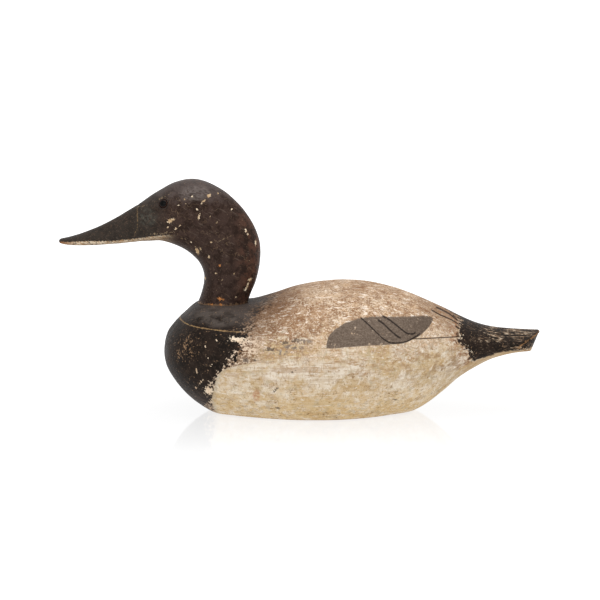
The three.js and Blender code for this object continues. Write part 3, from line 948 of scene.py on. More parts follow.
def slotted_screw(node):
    """A wood screw that points up from the ballast, its slot turned as it was left."""
    x, y, low, _ = screw_head(node)
    thread = []
    for k in range(9):
        thread += [(1.25, -12.2 + 0.95 * k), (1.68, -11.75 + 0.95 * k)]
    profile = [(0, -16.4), (0.5, -15.4), (1.2, -13.4), *thread, (1.6, -3.1)]
    profile += [(3.6, -0.75), (3.78, -0.55), (3.78, -0.25), (3.5, -0.02), (2.4, 0), (1.2, 0), (0, 0)]
    name = "slotted_" + node.removeprefix("ballast_")
    screw = lathe(name, profile, (x, y, low), (0, 0, -1), 40)
    bands = [(0, -1), (0, low + 1.15), (0.12, low + 1.25)]
    slot = capped(round_box_rings(0, 10, 1.1, 0.1, bands, 3))
    angle = math.radians(SCREW_TURNS[node])
    cosine, sine = math.cos(angle), math.sin(angle)
    spin = np.array([[cosine, -sine, 0], [sine, cosine, 0], [0, 0, 1]])
    cutter = lofted("slot_cut", slot @ spin.T + np.array([x, y, 0]))
    return shade(subtract(screw, cutter))


def staple_piece():
    spread, bend, top, wire = 4.6, 5.9, 19, 1.0
    turns = np.linspace(PI, 2 * PI, 25)
    arc = [(HINGE[0] + spread * math.cos(t), 0, bend + spread * math.sin(t)) for t in turns]
    legs = np.linspace(top, bend + 0.6, 14)
    run = [(HINGE[0] - spread, 0, z) for z in legs] + arc + [(HINGE[0] + spread, 0, z) for z in legs[::-1]]
    from_end = np.minimum(np.arange(len(run)), np.arange(len(run))[::-1])
    rings = round_run(run, wire * np.clip(from_end / 3, 0.25, 1), 18)
    return shade(lofted("wire_staple", capped(rings)), 50)


def ring_piece():
    """A ring bent from wire, with the lump where its ends were brazed. Its free end sags almost to z = 0."""
    radius, wire, sag, sides = 9, 1.25, math.radians(7.2), 18
    around = np.arange(sides) * 2 * PI / sides
    grid = []
    for t in np.linspace(0, 2 * PI, 97):
        lump = 0.16 * math.exp(-(((t - 0.78 * PI) / 0.07) ** 2)) - 0.05
        reach = radius + (wire + lump) * np.cos(around)
        rise = (wire + 0.4 * lump) * np.sin(around)
        grid.append(np.column_stack([reach * math.cos(t) - radius, reach * math.sin(t), rise]))
    grid = np.array(grid)
    x = grid[..., 0] * math.cos(sag) - grid[..., 2] * math.sin(sag)
    z = grid[..., 0] * math.sin(sag) + grid[..., 2] * math.cos(sag)
    grid = np.stack([x + HINGE[0], grid[..., 1], z + HINGE[1]], axis=-1)
    return shade(lofted("tie_ring", grid), 60)


# ------------------------------------------------------------------ materials


def srgb(red, green, blue):
    def linear(v):
        return ((v / 255 + 0.055) / 1.055) ** 2.4
    return (linear(red), linear(green), linear(blue), 1.0)


class Value:
    """A node's output that adds, subtracts and multiplies as a number does, by making Math nodes."""

    def __init__(self, paint, socket):
        self.paint = paint
        self.socket = socket

    def __add__(self, other):
        return self.paint.math("ADD", self, other)

    def __sub__(self, other):
        return self.paint.math("SUBTRACT", self, other)

    def __rsub__(self, other):
        return self.paint.math("SUBTRACT", other, self)

    def __mul__(self, other):
        return self.paint.math("MULTIPLY", self, other)

    def __abs__(self):
        return self.paint.math("ABSOLUTE", self)

    __radd__ = __add__
    __rmul__ = __mul__


class Paint:
    """One material's nodes, made by short calls. A colour is an sRGB triple or another node's output."""

    def __init__(self, name):
        self.material = bpy.data.materials.new(name)
        self.material.use_nodes = True
        self.tree = self.material.node_tree
        self.tree.nodes.clear()
        here = self.node("TexCoord").outputs["Object"]
        self.place = self.value("VectorMath", {0: here, "Scale": 1 / MM}, operation="SCALE")
        parts = self.node("SeparateXYZ", {0: self.place}).outputs
        self.x, self.y, self.z = (Value(self, part) for part in parts)

    def node(self, kind, inputs=(), **settings):
        made = self.tree.nodes.new("ShaderNode" + kind)
        for key, setting in settings.items():
            setattr(made, key, setting)
        for key, given in dict(inputs).items():
            given = given.socket if isinstance(given, Value) else given
            if isinstance(given, bpy.types.NodeSocket):
                self.tree.links.new(given, made.inputs[key])
            else:
                made.inputs[key].default_value = given
        return made

    def value(self, kind, inputs=(), output=0, **settings):
        return Value(self, self.node(kind, inputs, **settings).outputs[output])

    def math(self, operation, *values, clamp=False):
        return self.value("Math", dict(enumerate(values)), operation=operation, use_clamp=clamp)

    def ramp(self, value, rise, base):
        """A value times rise, plus base."""
        return self.math("MULTIPLY_ADD", value, float(rise), float(base))

    def off(self, value, reach):
        """A noise about zero that swings by some reach."""
        return self.ramp(value, 2 * reach, -reach)

    def most(self, *values):
        total = values[0]
        for value in values[1:]:
            total = self.math("MAXIMUM", total, value)
        return total

    def smooth(self, low, high, value):
        if low > high:
            return 1 - self.smooth(high, low, value)
        inputs = {"Value": value, "From Min": low, "From Max": high}
        return self.value("MapRange", inputs, interpolation_type="SMOOTHSTEP")

    def mix(self, share, a, b):
        a, b = (srgb(*tone) if isinstance(tone, tuple) else tone for tone in (a, b))
        return self.value("Mix", {0: share, 6: a, 7: b}, 2, data_type="RGBA", clamp_factor=True)

    def laid(self, coat, mask, weight, tone):
        """A tone laid over a coat where a mask says, at some weight."""
        return self.mix(mask * weight, coat, tone)

    def stretch(self, length, tilt=(0, 0, 0)):
        """Places squeezed along one direction, so that a noise there runs in streaks."""
        inputs = {"Vector": self.place, "Rotation": tilt, "Scale": (length, 1, 1)}
        return self.value("Mapping", inputs, vector_type="TEXTURE")

    def noise(self, size, detail=3.0, rough=0.55, place=None, shift=0.0):
        inputs = {"Vector": place or self.place, "Scale": 1 / size, "Detail": detail, "Roughness": rough}
        inputs["Distortion"] = shift
        return self.value("TexNoise", inputs)

    def lines(self, value, wide):
        """Thin curving lines, where a noise crosses its middle."""
        return self.smooth(wide, 0.3 * wide, abs(value - 0.5))

    def curve(self, value, points):
        """A line through points, read at a value."""
        (x0, y0), (x1, y1) = np.min(points, axis=0), np.max(points, axis=0)
        inputs = {"Value": value, "From Min": float(x0), "From Max": float(x1)}
        made = self.node("FloatCurve", {"Value": self.value("MapRange", inputs)})
        line = made.mapping.curves[0]
        spots = [((x - x0) / (x1 - x0), (y - y0) / (y1 - y0)) for x, y in points]
        while len(line.points) < len(spots):
            line.points.new(0.5, 0.5)
        for point, spot in zip(line.points, spots):
            point.location = spot
            point.handle_type = "AUTO"
        made.mapping.update()
        return self.ramp(Value(self, made.outputs[0]), y1 - y0, y0)

    def field(self, name):
        return self.value("Attribute", output="Fac", attribute_name=name)

    def bump(self, height):
        """A normal that follows a height in millimetres."""
        return self.value("Bump", {"Height": height, "Distance": MM, "Strength": 1.0})

    def finish(self, color, roughness, normal, **fixed):
        inputs = {"Base Color": color, "Roughness": roughness, "Normal": normal}
        inputs.update({key.replace("_", " "): value for key, value in fixed.items()})
        shader = self.node("BsdfPrincipled", inputs)
        self.node("OutputMaterial", {"Surface": shader.outputs[0]})
        return self.material


# Edges of the painted areas on the body, in millimetres.
BREAST_EDGE = [(0, -83), (7, -81), (25, -75), (45, -69), (52, -64), (61, -58), (68, -53)]
BREAST_EDGE += [(76, -49), (84, -47), (90, -43), (95, -38), (100, -32), (104, -27), (112, -25)]  # z, x
LOBE_EDGE = [(0, -74), (10, -76.3), (20, -77.5), (29, -75.9), (37, -74.2), (44, -72.2), (50, -67)]
LOBE_EDGE += [(54.3, -56.4), (57, -42.5), (60, -16), (61, 20)]  # z, x
TAIL_EDGE = [(40, 156), (49, 151.6), (55, 150.8), (61, 148), (66, 145), (70, 140.5), (76, 140.8)]
TAIL_EDGE += [(82, 141.2), (86, 141.8), (89, 138), (94, 130)]  # z, x
TAIL_BELLY = [(140, 40), (154, 49), (160.6, 51), (169.7, 53.2), (178.5, 56.4), (187.6, 57.3), (215, 58.5)]
WING_LOW = [(20, 71.6), (23.2, 70.3), (43.4, 71), (60.8, 71.8), (84, 72.2), (97.9, 74.4), (109.8, 80.6)]
WING_LOW += [(118, 89)]  # x, z, as are the rest
WING_HIGH = [(20, 68), (22.8, 73), (25, 80.1), (33.4, 87.3), (46.4, 92.6), (62.9, 94.6), (72.6, 94.2)]
WING_HIGH += [(87.7, 93.6), (104, 92.6), (114, 91.5), (118, 88)]
WING_STROKES = [
    [(52, 95), (56.5, 91.5), (62.7, 86), (68.5, 80.5), (74, 75.8), (79, 73.4), (86, 72.6), (93, 73.4)]
    + [(99, 75.8), (106, 79.2)],
    [(67, 92.6), (72, 89.5), (78.5, 83.7), (84, 79), (89, 75.6)],
    [(71, 95.4), (76, 93), (83.1, 88.1), (89, 83.4), (94.4, 79.8), (98, 79.2), (102, 80.6)],
]
TAIL_CHECKS = [
    [(116, 95.4), (120, 93.4), (124.5, 90.9), (129, 88.9), (133.5, 86.9), (137, 84.9), (142, 81.6)],
    [(121, 96), (126, 93.8), (130, 91.8), (134.2, 89.5), (137, 87.4), (142, 84)],
]
FAR_CHECK = [(112, 97), (119, 94), (125, 91.6), (131, 88.6), (138, 84.6), (141, 83)]


def spot(p, x, z, long, high):
    """A soft patch about a place on the side."""
    across = p.math("POWER", (p.x - x) * (1 / long), 2)
    upward = p.math("POWER", (p.z - z) * (1 / high), 2)
    return p.smooth(1, 0.1, across + upward)


def stroke(p, points, half):
    """Where a line painted along the side lies, from its heights along x."""
    (x0, z0), (x1, z1) = points[0], points[-1]
    slope = math.hypot(x1 - x0, z1 - z0) / (x1 - x0)
    away = abs(p.z - p.curve(p.x, points))
    inside = p.smooth(x0, x0 + 1.5, p.x) * p.smooth(x1, x1 - 1.5, p.x)
    return p.smooth(half * 1.5 * slope, half * 0.6 * slope, away) * inside


class BodyPaint(Paint):
    """The body's nodes, with the noises and bare tones that all of its coats share."""

    def __init__(self, name):
        super().__init__(name)
        self.broad = self.noise(34, 2)
        self.patch = self.noise(11, 4, 0.62)
        self.blotch = self.noise(6.5, 4, 0.62, shift=0.5)
        self.mottle = self.noise(3.1, 3, 0.65)
        self.fine = self.noise(1.5, 3, 0.65)
        self.grain = self.noise(1.5, 4, 0.62, self.stretch(12))
        self.ribs = self.noise(4.2, 3, 0.5, self.stretch(12))
        self.cross_a = self.noise(1.7, 4, 0.66, self.stretch(6, (0, 0.8, 0.55)))
        self.cross_b = self.noise(1.7, 4, 0.66, self.stretch(6, (0, -0.9, -0.7)))
        self.threads = self.lines(self.noise(5, 3, 0.6, self.stretch(2, (0, -0.5, -0.4))), 0.022)
        self.fleck = self.fine * 0.6 + self.mottle * 0.4
        self.left = self.smooth(2, -2, self.y)
        self.wood = self.mix(self.grain, (134, 92, 56), (196, 152, 104))
        primed = self.smooth(0.35, 0.65, self.patch)
        self.primer = self.mix(primed, (241, 223, 198), (228, 200, 168))


def flank_coat(p):
    """White lead: cream, with ochre stains low down, combed by the grain and dirty towards the tail."""
    patch, mottle, fine, grain, ribs, z = p.patch, p.mottle, p.fine, p.grain, p.ribs, p.z
    clouds = p.noise(19, 5, 0.68, p.stretch(1.7), shift=0.4)
    coat = p.mix(p.smooth(0.42, 0.6, clouds), (220, 205, 184), (205, 181, 144))
    low = p.smooth(44, 6, z + p.off(clouds, 26))
    coat = p.laid(coat, low, 0.7, (230, 200, 148))
    stained = p.smooth(0.46, 0.66, p.blotch + p.off(mottle, 0.16) + low * 0.05)
    coat = p.laid(coat, stained, 0.42, (196, 156, 98))
    whites = p.noise(7, 5, 0.68) + p.off(grain, 0.2) - p.off(clouds, 0.2)
    coat = p.laid(coat, p.smooth(0.5, 0.62, whites), 0.62, (240, 229, 212))
    smudged = p.smooth(0.55, 0.64, p.noise(9, 4, 0.65) + p.off(fine, 0.1))
    coat = p.laid(coat, smudged, 0.45, (172, 156, 126))
    combed = p.smooth(0.52, 0.63, grain + p.off(patch, 0.16))
    combing = p.ramp(p.smooth(36, 60, z), 0.42, 0.36)
    coat = p.laid(coat, combed, combing, (166, 126, 84))
    coat = p.laid(coat, p.smooth(0.43, 0.33, grain), 0.6, (246, 237, 224))
    upright = p.noise(1.3, 3, 0.6, p.stretch(7, (0.5, 1.5, 0)))
    coat = p.laid(coat, p.smooth(0.57, 0.65, upright), 0.5, (170, 138, 94))
    banded = p.smooth(0.52, 0.61, ribs + p.off(mottle, 0.16))
    banded = banded * p.smooth(36, 52, z) * p.smooth(84, 72, z)
    coat = p.laid(coat, banded, 0.5, (164, 128, 92))
    dirty = p.smooth(0.44, 0.6, ribs + p.off(patch, 0.3))
    dirty = dirty * p.smooth(70, 138, p.x) * p.smooth(26, 50, z)
    coat = p.laid(coat, dirty, 0.5, (152, 124, 94))
    pitted = p.smooth(0.62, 0.69, mottle + p.off(patch, 0.12))
    coat = p.laid(coat, pitted, 0.75, (140, 106, 68))
    coat = p.laid(coat, p.threads * p.smooth(0.45, 0.6, patch), 0.55, (146, 116, 80))
    specks = p.smooth(0.69, 0.72, fine + p.off(p.blotch, 0.12))
    return p.laid(coat, specks, 0.85, (84, 64, 46))


def back_scuffs(p):
    """Where the brown of the back is worn to the primer, in every direction."""
    worn_at = p.off(p.broad, 0.22) + p.off(p.patch, 0.14) + p.off(p.fine, 0.3)
    worn_at = worn_at - p.smooth(40, -40, p.x) * 0.04
    return p.most(
        p.smooth(0.48, 0.66, p.cross_a + worn_at),
        p.smooth(0.5, 0.68, p.cross_b + worn_at),
        p.smooth(0.52, 0.68, p.mottle + worn_at),
    )


def back_coat(p, scuffs):
    """Brown over primer, with painted shade darkening the top of the back."""
    patch = p.patch
    coat = p.mix(p.smooth(0.4, 0.62, p.blotch), (146, 110, 80), (182, 148, 116))
    coat = p.laid(coat, p.smooth(40, -40, p.x), 0.6, (132, 96, 68))
    coat = p.laid(coat, scuffs, 0.8, p.primer)
    gouged = p.smooth(0.6, 0.66, p.noise(2.2, 3, 0.6, p.stretch(4)) + p.off(p.blotch, 0.24))
    coat = p.laid(coat, gouged, 0.85, (248, 234, 218))
    hairs = p.lines(p.noise(9, 3, 0.6, p.stretch(2.4, (0, 0.4, 0.3))), 0.012)
    coat = p.laid(coat, hairs * p.smooth(0.4, 0.55, patch), 0.75, (242, 224, 204))
    coat = p.laid(coat, p.threads * p.smooth(0.6, 0.45, patch), 0.5, (124, 92, 68))
    scored = p.smooth(0.62, 0.7, p.cross_b + p.off(p.mottle, 0.14))
    coat = p.laid(coat, scored, 0.6, (116, 88, 68))
    # Painted shade: the top of the back darkened, against the light that falls on it.
    crest_shade = p.smooth(102, 113, p.z) * p.smooth(0.4, 0.6, p.mottle)
    return p.laid(coat, crest_shade, 0.4, (142, 112, 88))


def back_reach(p):
    """How far up the sides the back's brown takes over from the flank's white."""
    rise = p.z + p.off(p.broad, 14) + p.off(p.mottle, 50) + p.off(p.fine, 30)
    return p.smooth(56, 82, rise - p.smooth(0, 30, p.x) * 5)


def white_lobe(p, coat):
    """The lobe of white that cuts into the breast, shaded at its edge, and the scuffed band above it."""
    from_edge = p.x - p.curve(p.z, LOBE_EDGE) - p.off(p.fine, 1.6)
    lobe = p.smooth(-0.6, 0.6, from_edge) * p.smooth(62, 60, p.z)
    above = p.smooth(50, 58, p.z + p.off(p.patch, 20))
    shaded = lobe * p.smooth(7, 0, from_edge) * above
    rimmed = lobe * p.smooth(5, 0, from_edge)
    coat = p.laid(coat, p.most(shaded, rimmed), 0.55, (176, 164, 143))
    over = p.smooth(-24, -46, p.x) * (1 - lobe) * p.smooth(82, 76, p.z)
    scuffed = p.mottle + p.off(p.grain, 0.3) + p.smooth(-64, -44, p.x) * 0.05
    scuffed = p.mix(p.smooth(0.5, 0.6, scuffed), (108, 76, 54), (224, 202, 178))
    return p.laid(coat, over, 0.8, scuffed), lobe


def black_coat(p):
    """The black of the breast and tail: brown low down, with painted highlights greying the top of the
    breast.
    """
    patch, mottle = p.patch, p.mottle
    ink = p.mix(p.smooth(0.35, 0.65, patch), (27, 21, 17), (43, 33, 27))
    ink = p.laid(ink, p.smooth(0.52, 0.66, p.cross_a), 0.4, (74, 62, 53))
    ink = p.laid(ink, p.smooth(0.58, 0.68, mottle), 0.4, (84, 68, 54))
    browned = p.smooth(34, 4, p.z + p.off(patch, 24)) * p.smooth(0.4, 0.6, mottle)
    ink = p.laid(ink, browned, 0.5, (92, 68, 54))
    # Painted highlights: the top of the breast greyed, and a soft pale spot where the overhead light would
    # shine.
    painted_highlight = p.smooth(84, 92, p.z) * p.smooth(-20, -50, p.x) * p.smooth(0.35, 0.6, p.broad)
    ink = p.laid(ink, painted_highlight, 0.75, (84, 75, 70))
    painted_sheen = spot(p, -74, 92, 24, 8) * p.smooth(0.35, 0.6, patch)
    return p.laid(ink, painted_sheen, 0.5, (108, 99, 93))


def breast_reach(p, coat, lobe):
    """The ragged rear edge of the black breast, soft on top, with a brown shadow behind it."""
    ragged = p.off(p.patch, 9) + p.off(p.mottle, 22) + p.off(p.fine, 12)
    edge = p.x - p.curve(p.z, BREAST_EDGE)
    soft = p.ramp(p.smooth(78, 92, p.z), 6.0, 0.8)
    share = p.math("DIVIDE", edge + ragged + soft, soft * 2.0, clamp=True)
    shadow = p.smooth(42, 0, edge + p.off(p.mottle, 20)) * p.smooth(72, 88, p.z)
    return p.laid(coat, shadow, 0.72, (98, 72, 54)), (1 - share) * (1 - lobe)


def tail_reach(p, coat):
    """The black tail's ragged edge and belly line, with the brown that has run from it."""
    mottle, x, z = p.mottle, p.x, p.z
    past = x - p.curve(z, TAIL_EDGE) + p.off(p.patch, 8) + p.off(mottle, 14)
    over_belly = z - p.curve(x, TAIL_BELLY) + p.off(mottle, 2.5)
    nearing = p.smooth(-34, 0, past) * p.smooth(70, 88, z)
    coat = p.laid(coat, nearing, 0.6, (108, 80, 58))
    run = p.smooth(-14, 0, past) * p.smooth(-1, 2, over_belly) * p.smooth(0.42, 0.58, mottle)
    coat = p.laid(coat, run, 0.7, (150, 104, 72))
    belly = p.smooth(138, 152, x) * p.smooth(0.8, -0.8, over_belly)
    coat = p.laid(coat, belly, 0.6, (190, 160, 118))
    return coat, p.smooth(-1.2, 1.2, past) * p.smooth(-0.8, 1, over_belly)


def tail_streaks(p, coat):
    """Paint worn off the top and the lower edge of the tail, along the grain."""
    topside = p.smooth(146, 176, p.x) * p.smooth(64.5, 69, p.z)
    edges = p.smooth(172, 196, p.x) * p.smooth(66, 60, p.z)
    worn = p.off(p.patch, 0.12) + p.most(topside, edges * 1.6) * 0.082
    streaks = p.smooth(0.55, 0.62, p.grain - 0.05 + worn)
    streaks = streaks * p.ramp(p.most(topside, edges), 0.7, 0.3)
    tone = p.mix(p.smooth(0.45, 0.6, p.mottle), (150, 122, 96), (216, 194, 168))
    return p.laid(coat, streaks * p.smooth(142, 160, p.x), 0.8, tone)


def wing_patch(p, coat):
    """The grey wing patch, worn in places."""
    rag = p.off(p.fine, 1.4) + p.off(p.patch, 1.2)
    above = p.smooth(-0.4, 0.4, p.z - p.curve(p.x, WING_LOW) + rag * 0.4)
    below = p.smooth(-0.6, 0.6, p.curve(p.x, WING_HIGH) - p.z + rag)
    wing = above * below * p.smooth(22, 24, p.x + rag) * p.smooth(118, 117, p.x)
    grey = p.mix(p.smooth(0.38, 0.62, p.fine), (98, 84, 73), (122, 107, 94))
    grey = p.laid(grey, p.smooth(0.56, 0.66, p.grain), 0.5, (150, 133, 116))
    grey = p.laid(grey, p.smooth(84, 112, p.x), 0.4, (78, 64, 53))
    bared = p.smooth(0.63, 0.7, p.mottle + p.off(p.patch, 0.12))
    return p.mix(wing * (1 - bared * 0.7), coat, grey)


def feather_strokes(p):
    drawn = p.most(*[stroke(p, line, 0.66) for line in WING_STROKES])
    return drawn * p.smooth(0.72, 0.6, p.fine)


def drying_checks(p):
    near = p.most(*[stroke(p, line, 0.4) for line in TAIL_CHECKS])
    return p.most(near * p.left, stroke(p, FAR_CHECK, 0.4) * (1 - p.left))


def seam_lines(p, coat):
    """The broken tan line across the breast and the dark one ahead of the tail."""
    away = abs(p.z - p.ramp(p.x, SEAM_SLOPE, SEAM_HEIGHT))
    broken = away + p.off(p.patch, 0.5) + p.off(p.mottle, 0.9)
    tan_line = p.smooth(-42, -54, p.x) * p.smooth(0.5, 0.2, broken)
    coat = p.laid(coat, tan_line, 0.8, (160, 130, 94))
    dark_line = p.smooth(94, 104, p.x) * p.smooth(144, 138, p.x) * p.smooth(0.7, 0.3, away)
    return p.laid(coat, dark_line, 0.75, (60, 44, 34))


def body_knocks(p, coat, dark):
    """Chips down to the primer, and black rubbed through to the wood."""
    chipped = p.smooth(0.66, 0.7, p.field("chip") * 0.3 + p.fleck + p.off(p.patch, 0.03))
    tone = p.laid(p.primer, p.smooth(-82, -92, p.x), 0.65, (158, 126, 96))
    coat = p.mix(chipped * p.most(dark, 0.4), coat, tone)
    rubbed = dark * p.smooth(0.59, 0.65, p.field("bare") * 0.09 + p.fleck)
    tone = p.mix(p.patch, (116, 84, 58), (184, 152, 120))
    return p.laid(coat, rubbed, 0.85, tone), p.most(chipped, rubbed)


def body_stains(p, coat, dark):
    """Dark spots all round, and on the left side grey smears and one ruddy patch."""
    spotted = p.smooth(0.62, 0.7, p.field("stain") * 0.34 + p.fleck)
    coat = p.laid(coat, spotted * (1 - dark), 0.75, (84, 74, 66))
    smears = p.most(spot(p, -17.8, 66.6, 9, 3), spot(p, 3.6, 76, 9, 2.6), spot(p, -6, 71, 12, 3))
    smears = smears * p.left * p.smooth(0.42, 0.56, p.mottle)
    coat = p.laid(coat, smears, 0.65, (112, 110, 106))
    ruddy = spot(p, -38, 27, 4.5, 8) * p.left * p.smooth(0.4, 0.55, p.mottle)
    return p.laid(coat, ruddy, 0.6, (184, 126, 96))


def rim_and_sole(p, coat):
    """Bare wood round the tail's end and on the flat bottom."""
    broken = (p.fleck + p.off(p.patch, 0.3)) * 0.6
    rim = p.smooth(0.5, 0.61, p.field("rim") * 0.4 + broken)
    coat = p.laid(coat, rim, 0.9, p.mix(p.mottle, (132, 98, 66), p.wood))
    weathered = p.smooth(0.44, 0.62, p.ribs + p.off(p.grain, 0.3))
    sole = p.laid(p.wood, weathered, 0.6, (192, 168, 132))
    sole = p.laid(sole, p.smooth(0.55, 0.7, p.blotch), 0.6, (96, 78, 60))
    return p.mix(p.smooth(1.6, 0.5, p.z), coat, sole)


def body_paint():
    """White lead flanks, a tan brown back, a black breast and tail, and grey wing patches, all worn."""
    p = BodyPaint("worn_body_paint")
    scuffs, upper = back_scuffs(p), back_reach(p)
    coat = p.mix(upper, flank_coat(p), back_coat(p, scuffs))
    coat, lobe = white_lobe(p, coat)
    coat, breast = breast_reach(p, coat, lobe)
    coat, tail = tail_reach(p, coat)
    dark = p.most(breast, tail)
    coat = tail_streaks(p, p.mix(dark, coat, black_coat(p)))
    strokes, checks = feather_strokes(p), drying_checks(p)
    coat = p.laid(wing_patch(p, coat), strokes, 0.88, (34, 28, 26))
    coat = p.laid(coat, checks, 0.85, (36, 27, 22))
    coat = seam_lines(p, coat)
    coat, knocked = body_knocks(p, coat, dark)
    coat = rim_and_sole(p, body_stains(p, coat, dark))

    paint_height = (1 - p.most(knocked, scuffs * upper * 0.6)) * 0.14
    height = p.grain * 0.3 + p.fine * 0.3 + p.ribs * 0.35 + paint_height
    height = height - p.most(checks * 0.5, strokes * 0.08)
    roughness = p.ramp(dark, -0.16, 0.64) + p.off(p.patch, 0.14)
    return p.finish(coat, roughness, p.bump(height), IOR=1.16)


class HeadPaint(Paint):
    """The head's nodes, with the noises that its coats share."""

    def __init__(self, name):
        super().__init__(name)
        self.broad = self.noise(24, 2)
        self.patch = self.noise(7, 4, 0.6)
        self.mottle = self.noise(2.6, 3, 0.65)
        self.fine = self.noise(1.2, 3, 0.68)
        self.brushed = self.noise(1.3, 4, 0.6, self.stretch(8, (0, 0.5, 0.3)))
        self.swirl = self.noise(2.4, 4, 0.6, shift=1.2)
        self.fleck = self.fine * 0.6 + self.mottle * 0.4


def head_coat(p):
    """Brown-black, blacker on the face and bill, with painted highlights greying the top of the crown, and
    reddened behind the neck.
    """
    ink = p.mix(p.smooth(0.36, 0.64, p.patch), (42, 29, 23), (62, 47, 41))
    face = p.smooth(-112, -132, p.x + p.off(p.broad, 12))
    ink = p.laid(ink, face, 0.8, p.mix(p.patch, (35, 31, 28), (60, 55, 48)))
    ink = p.laid(ink, p.smooth(0.52, 0.66, p.swirl), 0.4, (92, 72, 59))
    ink = p.laid(ink, p.smooth(0.57, 0.7, p.brushed), 0.35, (112, 98, 88))
    # Painted highlights: the top of the head greyed, and a soft pale spot on the crown where the light would
    # shine.
    ink = p.laid(ink, p.smooth(186, 206, p.z + p.off(p.patch, 16)), 0.35, (104, 96, 94))
    crown = spot(p, -93, 199, 17, 8) * p.smooth(0.35, 0.6, p.brushed)
    ink = p.laid(ink, crown, 0.5, (126, 117, 112))
    reddened = p.smooth(-62, -44, p.x) * p.smooth(0.4, 0.6, p.patch)
    ink = p.laid(ink, reddened, 0.4, (104, 66, 48))
    hairs = p.lines(p.noise(15, 3, 0.6, p.stretch(2, (0, 0.7, 0.2))), 0.004)
    hairs = hairs * p.smooth(0.48, 0.6, p.broad) * (1 - face)
    return p.laid(ink, hairs, 0.5, (142, 118, 92))


def bill_wear(p, ink):
    """The bill's sides bare along their lower edge, and tan where the paint ends at its root."""
    under = p.curve(p.x, MOUTH) + p.off(p.fine, 1.6) - p.z
    rubbed = p.smooth(0.3, 0.9, under) * p.smooth(-108, -128, p.x)
    kept = p.smooth(0.55, 0.62, p.swirl + p.off(p.broad, 0.1))
    rubbed = rubbed * (1 - kept * 0.85)
    edge = p.mix(p.smooth(0.42, 0.6, p.brushed), (214, 197, 172), (168, 134, 98))
    edge = p.mix(p.smooth(-196, -214, p.x), edge, (142, 100, 66))
    edge = p.laid(edge, p.smooth(1.8, 4.5, under), 0.7, (120, 94, 72))
    ink = p.mix(rubbed, ink, edge)
    ragged = p.off(p.mottle, 1.6) + p.off(p.fine, 1.0)
    from_root = abs(p.x - p.curve(p.z, BILL_ROOT)) + ragged
    root = p.smooth(0.45, 0.1, from_root) * p.smooth(158, 163, p.z) * p.smooth(190, 185, p.z)
    ink = p.laid(ink, root * p.smooth(0.42, 0.52, p.swirl), 0.6, (140, 114, 80))
    greyed = spot(p, -135, 177, 11, 10) * p.smooth(0.4, 0.6, p.mottle)
    return p.laid(ink, greyed, 0.3, (98, 99, 90)), rubbed


def head_knocked(p, ink):
    """Chips down to the primer, spots down to the wood, and pale scratches."""
    primer = p.mix(p.smooth(0.4, 0.6, p.patch), (232, 212, 184), (190, 160, 122))
    bare = p.mix(p.brushed, (150, 92, 48), (205, 140, 84))
    chipped = p.smooth(0.655, 0.69, p.field("chip") * 0.31 + p.fleck + p.off(p.broad, 0.03))
    ink = p.mix(chipped, ink, primer)
    scraped = p.smooth(0.66, 0.7, p.field("bare") * 0.3 + p.fleck)
    ink = p.mix(scraped, ink, bare)
    scratched = p.smooth(0.62, 0.68, p.field("scratch") * 0.16 + p.fleck)
    return p.laid(ink, scratched, 0.8, (160, 138, 110)), chipped, scraped


def head_paint():
    """Brown-black paint over a tan primer, rubbed on the bill's edge and chipped on the cheeks and neck."""
    p = HeadPaint("worn_head_paint")
    ink, rubbed = bill_wear(p, head_coat(p))
    foot = p.smooth(100.4, 99, p.z + p.off(p.mottle, 5))
    ink, chipped, scraped = head_knocked(p, p.laid(ink, foot, 0.6, (134, 106, 80)))

    height = p.fine * 0.16 + p.brushed * 0.16 + p.swirl * 0.22 - p.most(chipped, scraped) * 0.12
    roughness = p.ramp(p.most(chipped, rubbed), 0.25, 0.42) + p.off(p.patch, 0.16)
    return p.finish(ink, roughness, p.bump(height), IOR=1.16)


def putty_paint():
    """White lead putty, yellowed and dirty, under a broken skin of black on the breast."""
    p = Paint("seam_putty")
    patch = p.noise(5, 4, 0.6)
    fine = p.noise(0.9, 3)
    tone = p.mix(p.smooth(0.35, 0.65, patch), (200, 168, 112), (160, 126, 80))
    skin = p.smooth(0.52, 0.62, p.noise(3.4, 3, 0.6, p.stretch(3)))
    tone = p.laid(tone, skin, 0.85, (52, 43, 38))
    tone = p.mix(p.smooth(-50, -40, p.x), tone, (58, 46, 36))
    height = fine * 0.25 + patch * 0.3
    return p.finish(tone, 0.78 + p.off(patch, 0.1), p.bump(height))


def eye_bed_paint():
    p = Paint("eye_bed_paint")
    fine = p.noise(0.8, 3)
    patch = p.noise(2.6, 3)
    tone = p.mix(p.smooth(0.35, 0.65, patch), (32, 24, 20), (54, 41, 34))
    tone = p.laid(tone, p.smooth(0.6, 0.68, fine), 0.7, (120, 80, 54))
    return p.finish(tone, 0.6 + p.off(patch, 0.1), p.bump(fine * 0.14), IOR=1.32)


def eye_glass():
    """Dark glass: a black pupil, a red-brown iris and the darker turn of its edge."""
    p = Paint("eye_glass")
    iris = p.field("iris")
    fleck = p.noise(0.5, 2)
    ring = p.mix(p.smooth(0.4, 0.6, fleck), (34, 16, 10), (50, 26, 16))
    tone = p.mix(p.smooth(0.66, 0.8, iris), (3, 2, 2), ring)
    tone = p.mix(p.smooth(0.86, 0.97, iris), tone, (16, 8, 6))
    rough = p.ramp(fleck, 0.05, 0.03)
    return p.finish(tone, rough, p.bump(fleck * 0.01), IOR=1.2)


